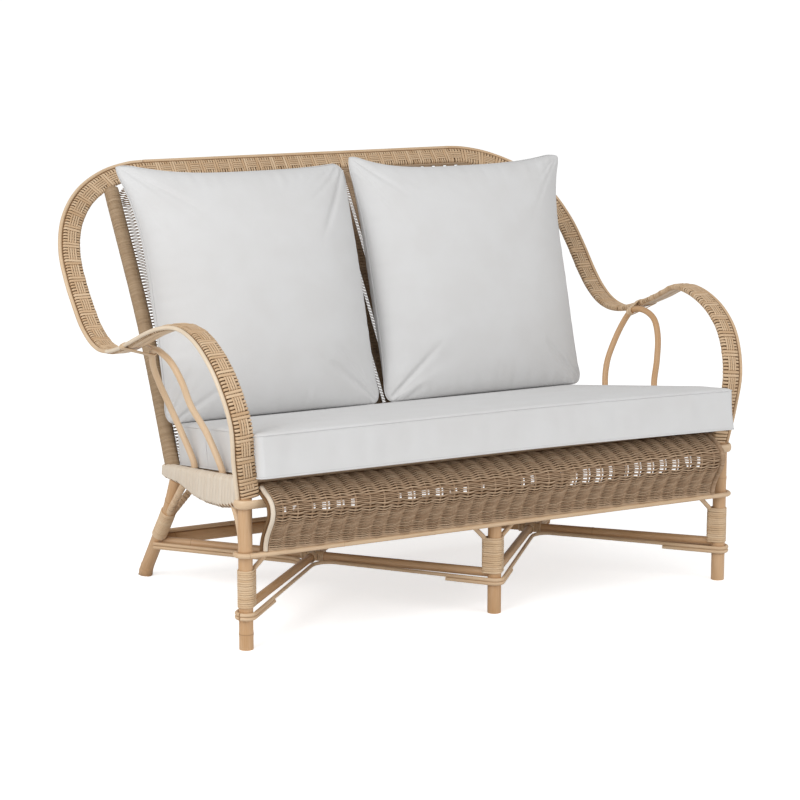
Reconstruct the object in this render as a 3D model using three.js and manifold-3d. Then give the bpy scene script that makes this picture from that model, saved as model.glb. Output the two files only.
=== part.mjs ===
// Rattan garden sofa for two: a frame of bent poles, a woven apron, seat and back, and three loose cushions.
// Millimetres, +X to the sitter's left, +Y to the back, +Z up, floor at Z = 0.
import * as THREE from 'three';
import { mergeVertices } from 'three/addons/utils/BufferGeometryUtils.js';
import Module from 'manifold-3d';

const wasm = await Module();
wasm.setup();

// Fits between pieces
const seatGap = 0.3; // left between two pieces that touch
const cutOverrun = 40; // how far a cutting shape runs past what it cuts

// Poles and thin rods, as radii
const legRadius = 14.5;
const postRadius = 16.7;
const rearRailRadius = 13;
const stretcherRadius = 13.5;
const crossPoleRadius = 9.5;
const bearerRadius = 11;
const archRadius = 7;
const braceRadius = 5; // corner braces of the front legs
const sideBraceRadius = 6; // from the outer front legs back to the side rails
const rearBraceRadius = 7.5;
const borderRadius = 5.7;
const bottomRailRadius = 5.2;
const strandRadius = 4;

// Where the legs stand
const frontLegSpread = 578; // from the middle to an outer front leg
const rearFootSpread = 524;
const rearFootSetback = 655;
const seatRailHeight = 300;
const apronRailHeight = 196;
const strandHeight = 71; // double strand round the front legs
const crossPoleFrontHeight = 86;
const stretcherHeight = 95;

// Seat
const seatFrontHeight = 346; // top of the deck at its front edge
const seatSlope = THREE.MathUtils.degToRad(8.2);
const deckFront = 10;
const deckRearGap = 3; // between the deck and the rear seat rail
const deckThickness = 12;
const skirtThickness = 24;
const skirtLength = 494;
const skirtRearSpread = 524; // from the middle to the side rail's rear end
const skirtLip = 4; // how far the side rail stands above the deck
const rearRailHeight = 269;
const rearRailSetback = 503;
const frontRailHeight = 18; // split pole, flat against the legs
const frontRailDepth = 9;

// Arms and back
const bandWidth = 50;
const bandThickness = 13;
const bandRimRadius = 5.6;
const earSpread = 651; // widest centre of the band, from the middle
const backTopSetback = 898; // centre of the top rail
const backTopHeight = 884;
const topRailTilt = THREE.MathUtils.degToRad(49); // of the top rail's face
const topRailHalfLength = 400;
const postFootInset = 7; // from the side rail's rear end in to the post's foot
const postFootOffset = 5; // the foot's middle lies above and in front of the rear rail's
const postHeadInset = 21;
const postHeadAhead = 48; // from the top rail's middle forward to the post's head
const postHeadBelow = 50;
const postBow = 8; // how far the middle of a post is drawn inwards
const panelThickness = 7;
const panelHalfWidth = 500;

// Apron
const apronThickness = 6;
const apronHalfWidth = 543; // centre of a border rod, from the middle
const apronBulge = 57; // furthest forward of the leg centres
const stakePitch = 33;
const stakeRelief = 1.8;

// Windings of cane
const windingWall = 2.2;
const windingPitch = 9.4;
const windingRidge = 0.9;
const windingHeight = 76;
const windingFoot = 87;
const bindingWall = 2.2;
const bindingWidth = 18;

// Cushions
const seatCushionThickness = 98;
const seatCushionArmGap = 8; // to the armrest bands
const seatCushionRailGap = 9; // to the side rails, at the rear
const seatCushionLipInset = 11; // the front lip ends this far inside the outer front legs' middles
const seatCushionOverhang = 57; // in front of the leg centres
const lipRear = 29; // the wide front lip ends this far in front of the leg centres
const seatCushionRear = 494;
const seatCushionCrown = 7;
const backCushionWidth = 536;
const backCushionHeight = 548;
const backCushionFrontDepth = 100; // from the seam out to the belly
const backCushionRearDepth = 116;
const backCushionLean = THREE.MathUtils.degToRad(17.2);
const backCushionFoot = 494; // setback of the seam at the cushion's lower edge
const cushionGap = 3; // between the two back cushions

const v = (x, y, z) => new THREE.Vector3(x, y, z);
const upward = v(0, 0, 1);

// Materials, one for each finish
const finish = (color, roughness) => ({ color, roughness, metalness: 0 });
const pole = finish(0xcfa678, 0.5);
const thinRod = finish(0xd6b182, 0.5);
const woven = finish(0xa68b70, 0.75);
const wrapped = finish(0xe3d3c0, 0.65);
const bandCane = finish(0xd1a878, 0.6);
const cane = finish(0xdcb98c, 0.55);
const cloth = finish(0xe6e6e6, 0.9);

const sofa = new THREE.Group();

function piece(name, geometry, look) {
  const mesh = new THREE.Mesh(geometry, new THREE.MeshStandardMaterial(look));
  mesh.name = name;
  sofa.add(mesh);
  return mesh;
}

// Joining and cutting

function toManifold(geometry) {
  const bare = geometry.clone();
  bare.deleteAttribute('normal');
  bare.deleteAttribute('uv');
  const merged = mergeVertices(bare);
  return new wasm.Manifold(new wasm.Mesh({
    numProp: 3,
    vertProperties: new Float32Array(merged.attributes.position.array),
    triVerts: new Uint32Array(merged.index.array),
  }));
}

function fromManifold(solid) {
  const mesh = solid.getMesh();
  const geometry = new THREE.BufferGeometry();
  geometry.setAttribute('position', new THREE.BufferAttribute(new Float32Array(mesh.vertProperties), 3));
  geometry.setIndex(new THREE.BufferAttribute(new Uint32Array(mesh.triVerts), 1));
  geometry.computeVertexNormals();
  return geometry;
}

function cut(geometry, ...tools) {
  let solid = toManifold(geometry);
  for (const tool of tools) {
    solid = solid.subtract(toManifold(tool));
  }
  return fromManifold(solid);
}

function join(geometry, ...others) {
  let solid = toManifold(geometry);
  for (const other of others) {
    solid = solid.add(toManifold(other));
  }
  return fromManifold(solid);
}

// The same shape on the other side of the sofa
function mirrored(geometry) {
  const copy = (geometry.index ? geometry.toNonIndexed() : geometry.clone());
  copy.scale(-1, 1, 1);
  const position = copy.attributes.position;
  for (let first = 0; first < position.count; first += 3) {
    const second = v(0, 0, 0).fromBufferAttribute(position, first + 1);
    const third = v(0, 0, 0).fromBufferAttribute(position, first + 2);
    position.setXYZ(first + 1, third.x, third.y, third.z);
    position.setXYZ(first + 2, second.x, second.y, second.z);
  }
  copy.computeVertexNormals();
  return copy;
}

// Rods: a round section along a line or a smooth curve

function roundShape(radius, sides) {
  const shape = new THREE.Shape();
  for (let side = 0; side < sides; side += 1) {
    const angle = (side / sides) * 2 * Math.PI;
    const x = radius * Math.cos(angle);
    const y = radius * Math.sin(angle);
    if (side === 0) {
      shape.moveTo(x, y);
    } else {
      shape.lineTo(x, y);
    }
  }
  shape.closePath();
  return shape;
}

function rod(points, radius, sides = 12, steps = 1) {
  const path = points.length === 2
    ? new THREE.LineCurve3(points[0], points[1])
    : new THREE.CatmullRomCurve3(points, false, 'centripetal');
  return new THREE.ExtrudeGeometry(roundShape(radius, sides), {
    steps,
    extrudePath: path,
    bevelEnabled: false,
  });
}

// Lofts: closed rings of equal length, joined in order, with flat ends

function loft(rings) {
  const size = rings[0].length;
  const positions = [];
  const triangle = (a, b, c) => positions.push(a.x, a.y, a.z, b.x, b.y, b.z, c.x, c.y, c.z);
  for (let row = 0; row + 1 < rings.length; row += 1) {
    for (let i = 0; i < size; i += 1) {
      const j = (i + 1) % size;
      triangle(rings[row][i], rings[row][j], rings[row + 1][j]);
      triangle(rings[row][i], rings[row + 1][j], rings[row + 1][i]);
    }
  }
  const caps = [[rings[0], true], [rings[rings.length - 1], false]];
  for (const [ring, first] of caps) {
    const normal = v(0, 0, 0);
    ring.forEach((point, i) => {
      const next = ring[(i + 1) % size];
      normal.add(v(0, 0, 0).crossVectors(point, next));
    });
    normal.normalize();
    const across = v(0, 0, 0).subVectors(ring[1], ring[0]).normalize();
    const along = v(0, 0, 0).crossVectors(normal, across);
    const flat = ring.map((point) => new THREE.Vector2(point.dot(across), point.dot(along)));
    for (const [a, b, c] of THREE.ShapeUtils.triangulateShape(flat, [])) {
      if (first) {
        triangle(ring[a], ring[c], ring[b]);
      } else {
        triangle(ring[a], ring[b], ring[c]);
      }
    }
  }
  const geometry = new THREE.BufferGeometry();
  geometry.setAttribute('position', new THREE.Float32BufferAttribute(positions, 3));
  geometry.computeVertexNormals();
  return geometry;
}

// A flat profile carried along a list of frames: each frame has a point and the profile's two directions
function sweep(frames, profile) {
  return loft(frames.map(({ point, side, face }) => profile.map(([a, b]) => (
    point.clone().addScaledVector(side, a).addScaledVector(face, b)
  ))));
}

// An oval profile with round ends, counter-clockwise
function ovalProfile(halfWidth, halfHeight, arcSteps) {
  const radius = Math.min(halfWidth, halfHeight);
  const points = [];
  const corners = [[1, 1, 0], [-1, 1, 1], [-1, -1, 2], [1, -1, 3]];
  for (const [signX, signY, quarter] of corners) {
    for (let step = 0; step <= arcSteps; step += 1) {
      const angle = (quarter + step / arcSteps) * Math.PI / 2;
      points.push([
        signX * (halfWidth - radius) + radius * Math.cos(angle),
        signY * (halfHeight - radius) + radius * Math.sin(angle),
      ]);
    }
  }
  return points.filter(([x, y], i) => {
    const [lastX, lastY] = points[(i + points.length - 1) % points.length];
    return Math.hypot(x - lastX, y - lastY) > radius * 0.01;
  });
}

// Frames along a level path: side points left of the direction of travel, face points up
function levelFrames(points) {
  return points.map((point, i) => {
    const before = points[Math.max(i - 1, 0)];
    const after = points[Math.min(i + 1, points.length - 1)];
    const ahead = v(after.x - before.x, after.y - before.y, 0).normalize();
    return { point, side: v(-ahead.y, ahead.x, 0), face: upward };
  });
}

// Places worked out from the sizes

const legTop = seatRailHeight + frontRailHeight / 2 + seatGap; // the armrest bands stand on the outer legs
const railSetback = legRadius + seatGap + frontRailDepth / 2; // front rail's centre, in front of the legs
const bottomRailSetback = legRadius + seatGap + bottomRailRadius;
const skirtFront = legRadius + seatGap;
const slopeRise = Math.tan(seatSlope);
const deckTop = (y) => seatFrontHeight - (y - deckFront) * slopeRise;
const deckUnder = (y) => deckTop(y) - deckThickness / Math.cos(seatSlope);
const skirtTop = (y) => deckTop(y) + skirtLip;
const skirtCentre = (y) => THREE.MathUtils.mapLinear(
  y, skirtFront, skirtFront + skirtLength, frontLegSpread, skirtRearSpread);
const onLeft = (x, y, z) => v(-x, y, z);

// Legs

function uprightLeg(x, radius = legRadius, top = legTop - seatGap) {
  return rod([v(x, 0, 0), v(x, 0, top)], radius, 16);
}

const grownLeg = (x) => rod([v(x, 0, -cutOverrun), v(x, 0, legTop + cutOverrun)], legRadius + seatGap, 16);

// Side rails: two poles wrapped together, deep behind the front leg and slim at the back
const skirtDepth = 68;
const skirtShares = [[0, 0.8], [0.1, 0.94], [0.24, 1], [0.42, 0.97], [0.58, 0.85], [0.78, 0.53], [1, 0.41]];

function skirt(grow = 0) {
  const rings = skirtShares.map(([along, depth], i) => {
    const overrun = (i === 0 ? -grow : 0) + (i === skirtShares.length - 1 ? grow : 0);
    const y = skirtFront + along * skirtLength + overrun;
    const half = depth * skirtDepth / 2;
    const centre = onLeft(skirtCentre(y), y, skirtTop(y) - half);
    return ovalProfile(skirtThickness / 2 + grow, half + grow, 2)
      .map(([a, b]) => v(centre.x - a, centre.y, centre.z + b));
  });
  return loft(rings);
}

// Rear legs: bent backwards on the way down, sawn level at the floor
const rearLegTopSetback = 459;
const rearLegShares = [[1.16, -0.13], [1, 0], [0.53, 0.42], [0.23, 0.69], [0.02, 0.97]];
const rearLegTop = deckTop(rearLegTopSetback) - skirtDepth * skirtShares[5][1] / 2;
const rearLegPath = new THREE.CatmullRomCurve3(rearLegShares.map(([back, up]) => onLeft(
  THREE.MathUtils.lerp(rearFootSpread, skirtRearSpread, Math.max(up, 0)),
  THREE.MathUtils.lerp(rearLegTopSetback, rearFootSetback, back),
  up * rearLegTop,
)), false, 'centripetal');
const rearLegSteps = 14;

function rearLegRod(radius) {
  return new THREE.ExtrudeGeometry(roundShape(radius, 14), {
    steps: rearLegSteps,
    extrudePath: rearLegPath,
    bevelEnabled: false,
  });
}

// The share of a curve where one coordinate first passes a value
function shareWhere(path, axis, value, from = 0, to = 1) {
  const scanSteps = 400;
  const sign = Math.sign(path.getPoint(from)[axis] - value);
  for (let step = 1; step <= scanSteps; step += 1) {
    const share = THREE.MathUtils.lerp(from, to, step / scanSteps);
    if (Math.sign(path.getPoint(share)[axis] - value) !== sign) {
      return share;
    }
  }
  return to;
}

const onRearLeg = (height) => rearLegPath.getPoint(shareWhere(rearLegPath, 'z', height));

const floorBlock = () => {
  const block = new THREE.BoxGeometry(2 * rearFootSpread, rearFootSetback, 2 * cutOverrun);
  block.translate(-rearFootSpread, rearFootSetback, -cutOverrun);
  return block;
};

const skirtLeft = skirt();
const skirtCutter = skirt(seatGap);
const rearLegLeft = cut(rearLegRod(legRadius), floorBlock(), skirtCutter);
const rearLegCutter = rearLegRod(legRadius + seatGap);

piece('front_leg_left', uprightLeg(-frontLegSpread), pole);
piece('front_leg_middle', uprightLeg(0), pole);
piece('front_leg_right', uprightLeg(frontLegSpread), pole);
piece('rear_leg_left', rearLegLeft, pole);
piece('rear_leg_right', mirrored(rearLegLeft), pole);
piece('side_rail_left', skirtLeft, wrapped);
piece('side_rail_right', mirrored(skirtLeft), wrapped);

// The band: one path from the front leg over the armrest, through the dip and the ear to the top rail.
// Arm rows: outward from the leg to the ear, back, up, and how far the face has turned to the top rail's.
const armShares = [
  [-0.07, -0.003, 0, 0.08], [0.1, -0.012, 0.13, 0.02], [0.22, -0.018, 0.271, 0], [0.38, 0.022, 0.41, 0],
  [0.45, 0.079, 0.49, 0], [0.48, 0.146, 0.538, 0], [0.55, 0.216, 0.556, 0], [0.71, 0.272, 0.545, 0],
  [0.85, 0.32, 0.52, 0], [0.92, 0.37, 0.489, 0], [0.94, 0.425, 0.457, 0], [0.96, 0.485, 0.425, 0],
  [0.98, 0.543, 0.404, 0], [0.99, 0.597, 0.402, 0], [0.99, 0.648, 0.422, 0], [1, 0.697, 0.466, 0],
  [1, 0.741, 0.53, 0.02], [1, 0.793, 0.623, 0.06], [0.9, 0.846, 0.725, 0.14],
];
// Corner rows: inward from the ear to the top rail's end, then the same three shares
const cornerShares = [
  [0.131, 0.897, 0.828, 0.28], [0.327, 0.944, 0.915, 0.5], [0.6, 0.981, 0.972, 0.72],
  [0.85, 0.996, 0.996, 0.92], [1, 1, 1, 1],
];
const bandRow = (from, to) => ([across, back, up, turn]) => ({
  point: onLeft(
    THREE.MathUtils.lerp(from, to, across),
    back * backTopSetback,
    THREE.MathUtils.lerp(legTop, backTopHeight, up),
  ),
  turn,
});
const bandRows = [
  ...armShares.map(bandRow(frontLegSpread, earSpread)),
  ...cornerShares.map(bandRow(earSpread, topRailHalfLength)),
];
const bandPath = new THREE.CatmullRomCurve3(bandRows.map((row) => row.point), false, 'centripetal');
const topSide = v(0, Math.cos(topRailTilt), Math.sin(topRailTilt)); // across the top rail, rim side up

function bandFrame(share) {
  const place = share * (bandRows.length - 1);
  const row = Math.min(Math.floor(place), bandRows.length - 2);
  const turn = THREE.MathUtils.lerp(bandRows[row].turn, bandRows[row + 1].turn, place - row);
  const ahead = bandPath.getTangent(share);
  if (share === 0) {
    ahead.copy(upward);
  }
  if (share === 1) {
    ahead.set(1, 0, 0);
  }
  const quarter = turn * Math.PI / 2;
  const side = v(-Math.cos(quarter), 0, 0).addScaledVector(topSide, Math.sin(quarter));
  side.addScaledVector(ahead, -side.dot(ahead)).normalize();
  const face = v(0, 0, 0).crossVectors(ahead, side);
  return { point: bandPath.getPoint(share), side, face };
}

// Woven body with rounded edges, and a bare rim rod along the outer edge
function bandProfile(grow = 0) {
  const half = bandWidth / 2;
  const rimCentre = half - bandRimRadius;
  const groove = rimCentre - bandRimRadius;
  const body = bandThickness / 2 + grow;
  const shoulder = body * 0.55;
  const points = [
    [-half - grow, -shoulder], [-half + shoulder, -body], [groove - shoulder, -body], [groove, -shoulder],
  ];
  const rimAngles = [-90, -30, 30, 90].map(THREE.MathUtils.degToRad);
  for (const angle of rimAngles) {
    const radius = bandRimRadius + grow;
    points.push([rimCentre + radius * Math.cos(angle), radius * Math.sin(angle)]);
  }
  points.push([groove, shoulder], [groove - shoulder, body], [-half + shoulder, body], [-half - grow, shoulder]);
  return points;
}

const bandSteps = 60;
const bandShares = Array.from({ length: bandSteps + 1 }, (_, step) => step / bandSteps);
const bandFrames = bandShares.map(bandFrame);
const armBand = sweep(bandFrames, bandProfile());
const bandCutter = sweep(bandFrames, bandProfile(seatGap));

const railEnd = topRailHalfLength - seatGap;
const topFrame = (x) => ({
  point: v(x, backTopSetback, backTopHeight),
  side: topSide,
  face: v(0, 0, 0).crossVectors(v(1, 0, 0), topSide),
});
const topRail = sweep([topFrame(-railEnd), topFrame(railEnd)], bandProfile());

piece('arm_band_left', armBand, bandCane);
piece('arm_band_right', mirrored(armBand), bandCane);
piece('top_rail', topRail, bandCane);

// Back posts: from the side rails' rear ends up to the band's corners
const postFoot = onLeft(
  skirtRearSpread - postFootInset, rearRailSetback - postFootOffset, rearRailHeight + postFootOffset);
const postHead = onLeft(
  skirtRearSpread - postHeadInset, backTopSetback - postHeadAhead, backTopHeight - postHeadBelow);
const postMiddle = v(0, 0, 0).lerpVectors(postFoot, postHead, 1 / 2).add(v(postBow, 0, 0));
const postSteps = 6;

function post(radius) {
  return rod([postFoot, postMiddle, postHead], radius, 14, postSteps);
}

const postLeft = cut(post(postRadius), skirtCutter, bandCutter);
const postCutter = post(postRadius + seatGap);
piece('back_post_left', postLeft, wrapped);
piece('back_post_right', mirrored(postLeft), wrapped);

// Front rail and bottom rail: along the legs' fronts, bent round the outer legs at both ends

function railPath(setback, height, wrapAngle) {
  const bendSteps = 5;
  const bend = (side) => Array.from({ length: bendSteps + 1 }, (_, step) => {
    const angle = (wrapAngle * step) / bendSteps;
    return v(
      side * (frontLegSpread + setback * Math.sin(angle)),
      -setback * Math.cos(angle),
      height,
    );
  });
  return [...bend(-1).reverse(), ...bend(1)];
}

const frontRailWrap = THREE.MathUtils.degToRad(100);
const bottomRailWrap = THREE.MathUtils.degToRad(122);
const frontRail = sweep(
  levelFrames(railPath(railSetback, seatRailHeight, frontRailWrap)),
  ovalProfile(frontRailDepth / 2, frontRailHeight / 2, 2),
);
const bottomRail = sweep(
  levelFrames(railPath(bottomRailSetback, apronRailHeight, bottomRailWrap)),
  ovalProfile(bottomRailRadius, bottomRailRadius, 2),
);
piece('front_rail', frontRail, pole);
piece('apron_bottom_rail', bottomRail, thinRod);

// Rear seat rail, back stretcher
const rearRailEnd = skirtRearSpread - skirtThickness / 2 - seatGap;

function rearRailRod(grow) {
  const end = v(rearRailEnd + grow, rearRailSetback, rearRailHeight);
  return rod([v(-end.x, end.y, end.z), end], rearRailRadius + grow, 14);
}

const postCutterRight = mirrored(postCutter);
piece('rear_rail', cut(rearRailRod(0), postCutter, postCutterRight), pole);
const rearRailCutter = rearRailRod(seatGap);

const rearLegCutterRight = mirrored(rearLegCutter);
const backStretcherSpot = onRearLeg(stretcherHeight);

function stretcherRod(radius) {
  const { x, y, z } = backStretcherSpot;
  return rod([v(x, y, z), v(-x, y, z)], radius, 14);
}

piece('back_stretcher', cut(stretcherRod(stretcherRadius), rearLegCutter, rearLegCutterRight), pole);
const stretcherCutter = stretcherRod(stretcherRadius + seatGap);

// Seat deck on two bearers
const deckRear = rearRailSetback - rearRailRadius - deckRearGap;
const deckHalfWidth = (y) => skirtCentre(y) - skirtThickness / 2 - seatGap;
const deckRing = (y) => [
  v(deckHalfWidth(y), y, deckUnder(y)),
  v(-deckHalfWidth(y), y, deckUnder(y)),
  v(-deckHalfWidth(y), y, deckTop(y)),
  v(deckHalfWidth(y), y, deckTop(y)),
];
const deck = loft([deckRing(deckFront), deckRing(deckRear)]);
piece('seat_deck', deck, woven);

// Two bearers run from the front rail to the rear rail, and a cross pole lies on them under the deck's front
const bearerSpread = 190;
const deckPoleSetback = 32;
const bearerFront = (x) => v(x, -legRadius, seatRailHeight);
const bearerRear = (x) => v(
  x,
  rearRailSetback,
  deckUnder(rearRailSetback) - (bearerRadius + seatGap) / Math.cos(seatSlope),
);
const frontRailCutter = sweep(
  levelFrames(railPath(railSetback, seatRailHeight, frontRailWrap)),
  ovalProfile(frontRailDepth / 2 + seatGap, frontRailHeight / 2 + seatGap, 2),
);

function bearer(side) {
  const x = side * bearerSpread;
  return cut(rod([bearerFront(x), bearerRear(x)], bearerRadius, 10), rearRailCutter, frontRailCutter);
}

piece('bearer_left', bearer(-1), pole);
piece('bearer_right', bearer(1), pole);

const bearerTopAtPole = THREE.MathUtils.mapLinear(
  deckPoleSetback,
  bearerFront(0).y, bearerRear(0).y,
  bearerFront(0).z, bearerRear(0).z,
) + bearerRadius + seatGap;
const deckUnderAtPole = deckUnder(deckPoleSetback) - seatGap;
const deckPoleHeight = (bearerTopAtPole + deckUnderAtPole) / 2;
const deckPoleRadius = (deckUnderAtPole - bearerTopAtPole) / 2 * Math.cos(seatSlope);
const deckPoleEnd = skirtCentre(deckPoleSetback - deckPoleRadius) - skirtThickness;
piece('deck_front_pole', rod([
  v(-deckPoleEnd, deckPoleSetback, deckPoleHeight),
  v(deckPoleEnd, deckPoleSetback, deckPoleHeight),
], deckPoleRadius, 12), pole);

// Apron: woven over upright stakes, from the deck's front edge out over the front rail and down to the
// bottom rail. Rows: forward of the leg centres, then up from the bottom rail's top.
const apronRear = 16; // its upper edge tucks in under the deck
const apronTop = deckUnder(apronRear) - apronThickness / 2 / Math.cos(seatSlope) - seatGap;
const apronFoot = apronRailHeight + bottomRailRadius + seatGap;
const apronShares = [
  [-apronRear / apronBulge, 1], [0.1, 0.985], [0.4, 0.93], [0.7, 0.87], [0.93, 0.78], [1, 0.66], [0.91, 0.53],
  [0.7, 0.39], [0.49, 0.24], [0.37, 0.1], [0.351, 0],
];
const apronPath = new THREE.CatmullRomCurve3(apronShares.map(([forward, up]) => v(
  0,
  -forward * apronBulge,
  THREE.MathUtils.lerp(apronFoot, apronTop, up),
)), false, 'centripetal');
const apronRows = 10;

function apronFrame(share) {
  const point = apronPath.getPointAt(share);
  const ahead = apronPath.getTangentAt(share);
  if (share === 1) {
    ahead.set(0, 0, -1);
  }
  return { point, ahead, outward: v(0, 0, 0).crossVectors(v(1, 0, 0), ahead).multiplyScalar(-1) };
}

// One woven sheet: columns across, with a ridge over every stake, and rows along the path
function wovenSheet({ halfWidth, pitch, relief, thickness, rows, frameAt }) {
  const bays = Math.round((2 * halfWidth) / pitch);
  const columnsPerBay = 2;
  const columns = bays * columnsPerBay;
  const heightAt = (column) => (column % columnsPerBay === 0 ? 0 : relief);
  const rings = [];
  for (let column = 0; column <= columns; column += 1) {
    const x = THREE.MathUtils.lerp(-halfWidth, halfWidth, column / columns);
    const front = [];
    const back = [];
    for (let row = 0; row <= rows; row += 1) {
      const { point, outward } = frameAt(row / rows);
      const lift = row === 0 || row === rows ? 0 : heightAt(column);
      front.push(point.clone().addScaledVector(outward, thickness / 2 + lift).setX(x));
      back.push(point.clone().addScaledVector(outward, -thickness / 2).setX(x));
    }
    rings.push([...front, ...back.reverse()]);
  }
  return loft(rings);
}

const weaveHalfWidth = apronHalfWidth - borderRadius - seatGap;
const apron = wovenSheet({
  halfWidth: weaveHalfWidth,
  pitch: stakePitch,
  relief: stakeRelief,
  thickness: apronThickness,
  rows: apronRows,
  frameAt: apronFrame,
});
piece('apron_weave', apron, woven);

const borderSteps = 14;
const borderFrames = (x) => Array.from({ length: borderSteps + 1 }, (_, step) => {
  const { point, outward, ahead } = apronFrame(step / borderSteps);
  return { point: point.clone().setX(x), side: outward, face: v(0, 0, 0).crossVectors(ahead, outward) };
});
const border = sweep(borderFrames(-apronHalfWidth), ovalProfile(borderRadius, borderRadius, 2));
const borderLeft = cut(border, (() => {
  const block = new THREE.BoxGeometry(4 * cutOverrun, 2 * cutOverrun, 2 * cutOverrun);
  block.rotateX(-seatSlope);
  const above = cutOverrun / Math.cos(seatSlope) - seatGap;
  block.translate(-apronHalfWidth, apronRear, deckUnder(apronRear) + above);
  return block;
})());
piece('apron_border_left', borderLeft, thinRod);
piece('apron_border_right', mirrored(borderLeft), thinRod);

// Woven back between the posts, from the rear rail up to the top rail's lower edge
const panelFoot = v(0, rearRailSetback, rearRailHeight + rearRailRadius + panelThickness);
const panelReach = bandWidth / 2 + panelThickness;
const panelHead = v(0, backTopSetback, backTopHeight).addScaledVector(topSide, -panelReach);
const panelAhead = v(0, 0, 0).subVectors(panelHead, panelFoot).normalize();
const panelOutward = v(0, 0, 0).crossVectors(v(1, 0, 0), panelAhead);
const panelStakePitch = 31.25;
const panel = wovenSheet({
  halfWidth: panelHalfWidth,
  pitch: panelStakePitch,
  relief: stakeRelief,
  thickness: panelThickness,
  rows: 3,
  frameAt: (share) => ({
    point: v(0, 0, 0).lerpVectors(panelHead, panelFoot, share),
    outward: panelOutward,
  }),
});
const panelTrimmed = cut(panel, postCutter, postCutterRight, bandCutter, mirrored(bandCutter));
piece('back_panel', panelTrimmed, woven);

// Arches under the armrests. Rows: outward, back, and up from the deck, as shares
const archBaseInset = 9; // from the side rail's middle
const archFlare = 63; // how far an arch leans outwards
const archBackShare = 0.4766; // of the top rail's setback
const archRiseShare = 0.431; // of the height from the legs' tops to the top rail
const archBase = (frontLegSpread + skirtRearSpread) / 2 - archBaseInset;
const archSetback = backTopSetback * archBackShare;
const archTop = THREE.MathUtils.lerp(legTop, backTopHeight, archRiseShare);
const archShares = [
  [0.03, 0.418, -0.2], [0.03, 0.418, 0.017], [0.22, 0.535, 0.328], [0.6, 0.595, 0.57], [0.8, 0.632, 0.774],
  [0.96, 0.7, 0.928], [1.03, 0.79, 0.99], [1, 0.87, 1], [0.95, 0.93, 0.957], [0.82, 0.975, 0.834],
  [0.54, 0.995, 0.651], [0.22, 0.99, 0.451], [-0.05, 0.945, 0.226], [-0.24, 0.85, -0.043], [-0.26, 0.82, -0.26],
];
const archFoot = deckTop(archSetback * archShares[0][1]);
const archPath = new THREE.CatmullRomCurve3(archShares.map(([out, back, up]) => onLeft(
  archBase + out * archFlare,
  back * archSetback,
  THREE.MathUtils.lerp(archFoot, archTop, up),
)), false, 'centripetal');
const archSteps = 36;

function archRod(radius) {
  return new THREE.ExtrudeGeometry(roundShape(radius, 10), {
    steps: archSteps,
    extrudePath: archPath,
    bevelEnabled: false,
  });
}

// The arches stand on the deck's edge, against the side rails
const belowDeck = (() => {
  const block = new THREE.BoxGeometry(8 * cutOverrun, 2 * skirtLength, skirtDepth * 4);
  block.rotateX(-seatSlope);
  const middle = skirtFront + skirtLength / 2;
  block.translate(-archBase, middle, deckTop(middle) + seatGap - 2 * skirtDepth / Math.cos(seatSlope));
  return block;
})();
const archCutter = archRod(archRadius + seatGap);
const archLeft = cut(archRod(archRadius), belowDeck, skirtCutter, bandCutter);
piece('arm_arch_left', archLeft, thinRod);
piece('arm_arch_right', mirrored(archLeft), thinRod);

// Binding of an arch to the band: a wide turn of cane round both, just behind the arch's top
const bindingRow = 10.35; // counted along the band's rows
const bindingFrame = bandFrame(bindingRow / (bandRows.length - 1));
const archTopShare = 0.45;
const bindingBody = (() => {
  const { point, side, face } = bindingFrame;
  const ahead = v(0, 0, 0).crossVectors(side, face);
  const nearest = Array.from({ length: archSteps * 4 }, (_, step) => (
    THREE.MathUtils.lerp(archTopShare, 1, step / (archSteps * 4))
  )).map((share) => archPath.getPoint(share).sub(point))
    .sort((a, b) => Math.abs(a.dot(ahead)) - Math.abs(b.dot(ahead)))[0];
  const archAcross = nearest.dot(side);
  const archUnder = nearest.dot(face);
  const reach = archRadius + seatGap + bindingWall;
  const half = bandWidth / 2 + seatGap + bindingWall;
  const body = bandThickness / 2 + seatGap + bindingWall;
  const outline = [
    [archAcross - reach * 0.6, archUnder - reach], [archAcross + reach * 0.6, archUnder - reach],
    [archAcross + reach, archUnder - reach * 0.4], [half, -body * 0.7],
    [half, body * 0.6], [half * 0.94, body], [-half * 0.94, body], [-half, body * 0.6],
    [-half, -body * 0.7], [archAcross - reach, archUnder - reach * 0.4],
  ];
  const step = ahead.multiplyScalar(bindingWidth / 2);
  return sweep([
    { point: point.clone().sub(step), side, face },
    { point: point.clone().add(step), side, face },
  ], outline);
})();
const bindingLeft = cut(bindingBody, bandCutter, archCutter);
piece('arch_binding_left', bindingLeft, cane);
piece('arch_binding_right', mirrored(bindingLeft), cane);

// Cross poles: an X in each half of the base. One pole runs through, the other is two halves.
const crossHeight = (y) => THREE.MathUtils.mapLinear(
  y, 0, backStretcherSpot.y, crossPoleFrontHeight, stretcherHeight);
const crossPoint = (x, y) => v(x, y, crossHeight(y));
const frontLeft = crossPoint(-frontLegSpread, 0);
const frontMiddle = crossPoint(0, 0);
const frontRight = crossPoint(frontLegSpread, 0);
const backLeft = crossPoint(backStretcherSpot.x, backStretcherSpot.y);
const backMiddle = crossPoint(0, backStretcherSpot.y);
const backRight = crossPoint(-backStretcherSpot.x, backStretcherSpot.y);
const junctionShare = frontLegSpread / (frontLegSpread - backStretcherSpot.x); // where the two poles cross
const junctionLeft = v(0, 0, 0).lerpVectors(frontMiddle, backLeft, junctionShare);
const junctionRight = v(0, 0, 0).lerpVectors(frontMiddle, backRight, junctionShare);

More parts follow.
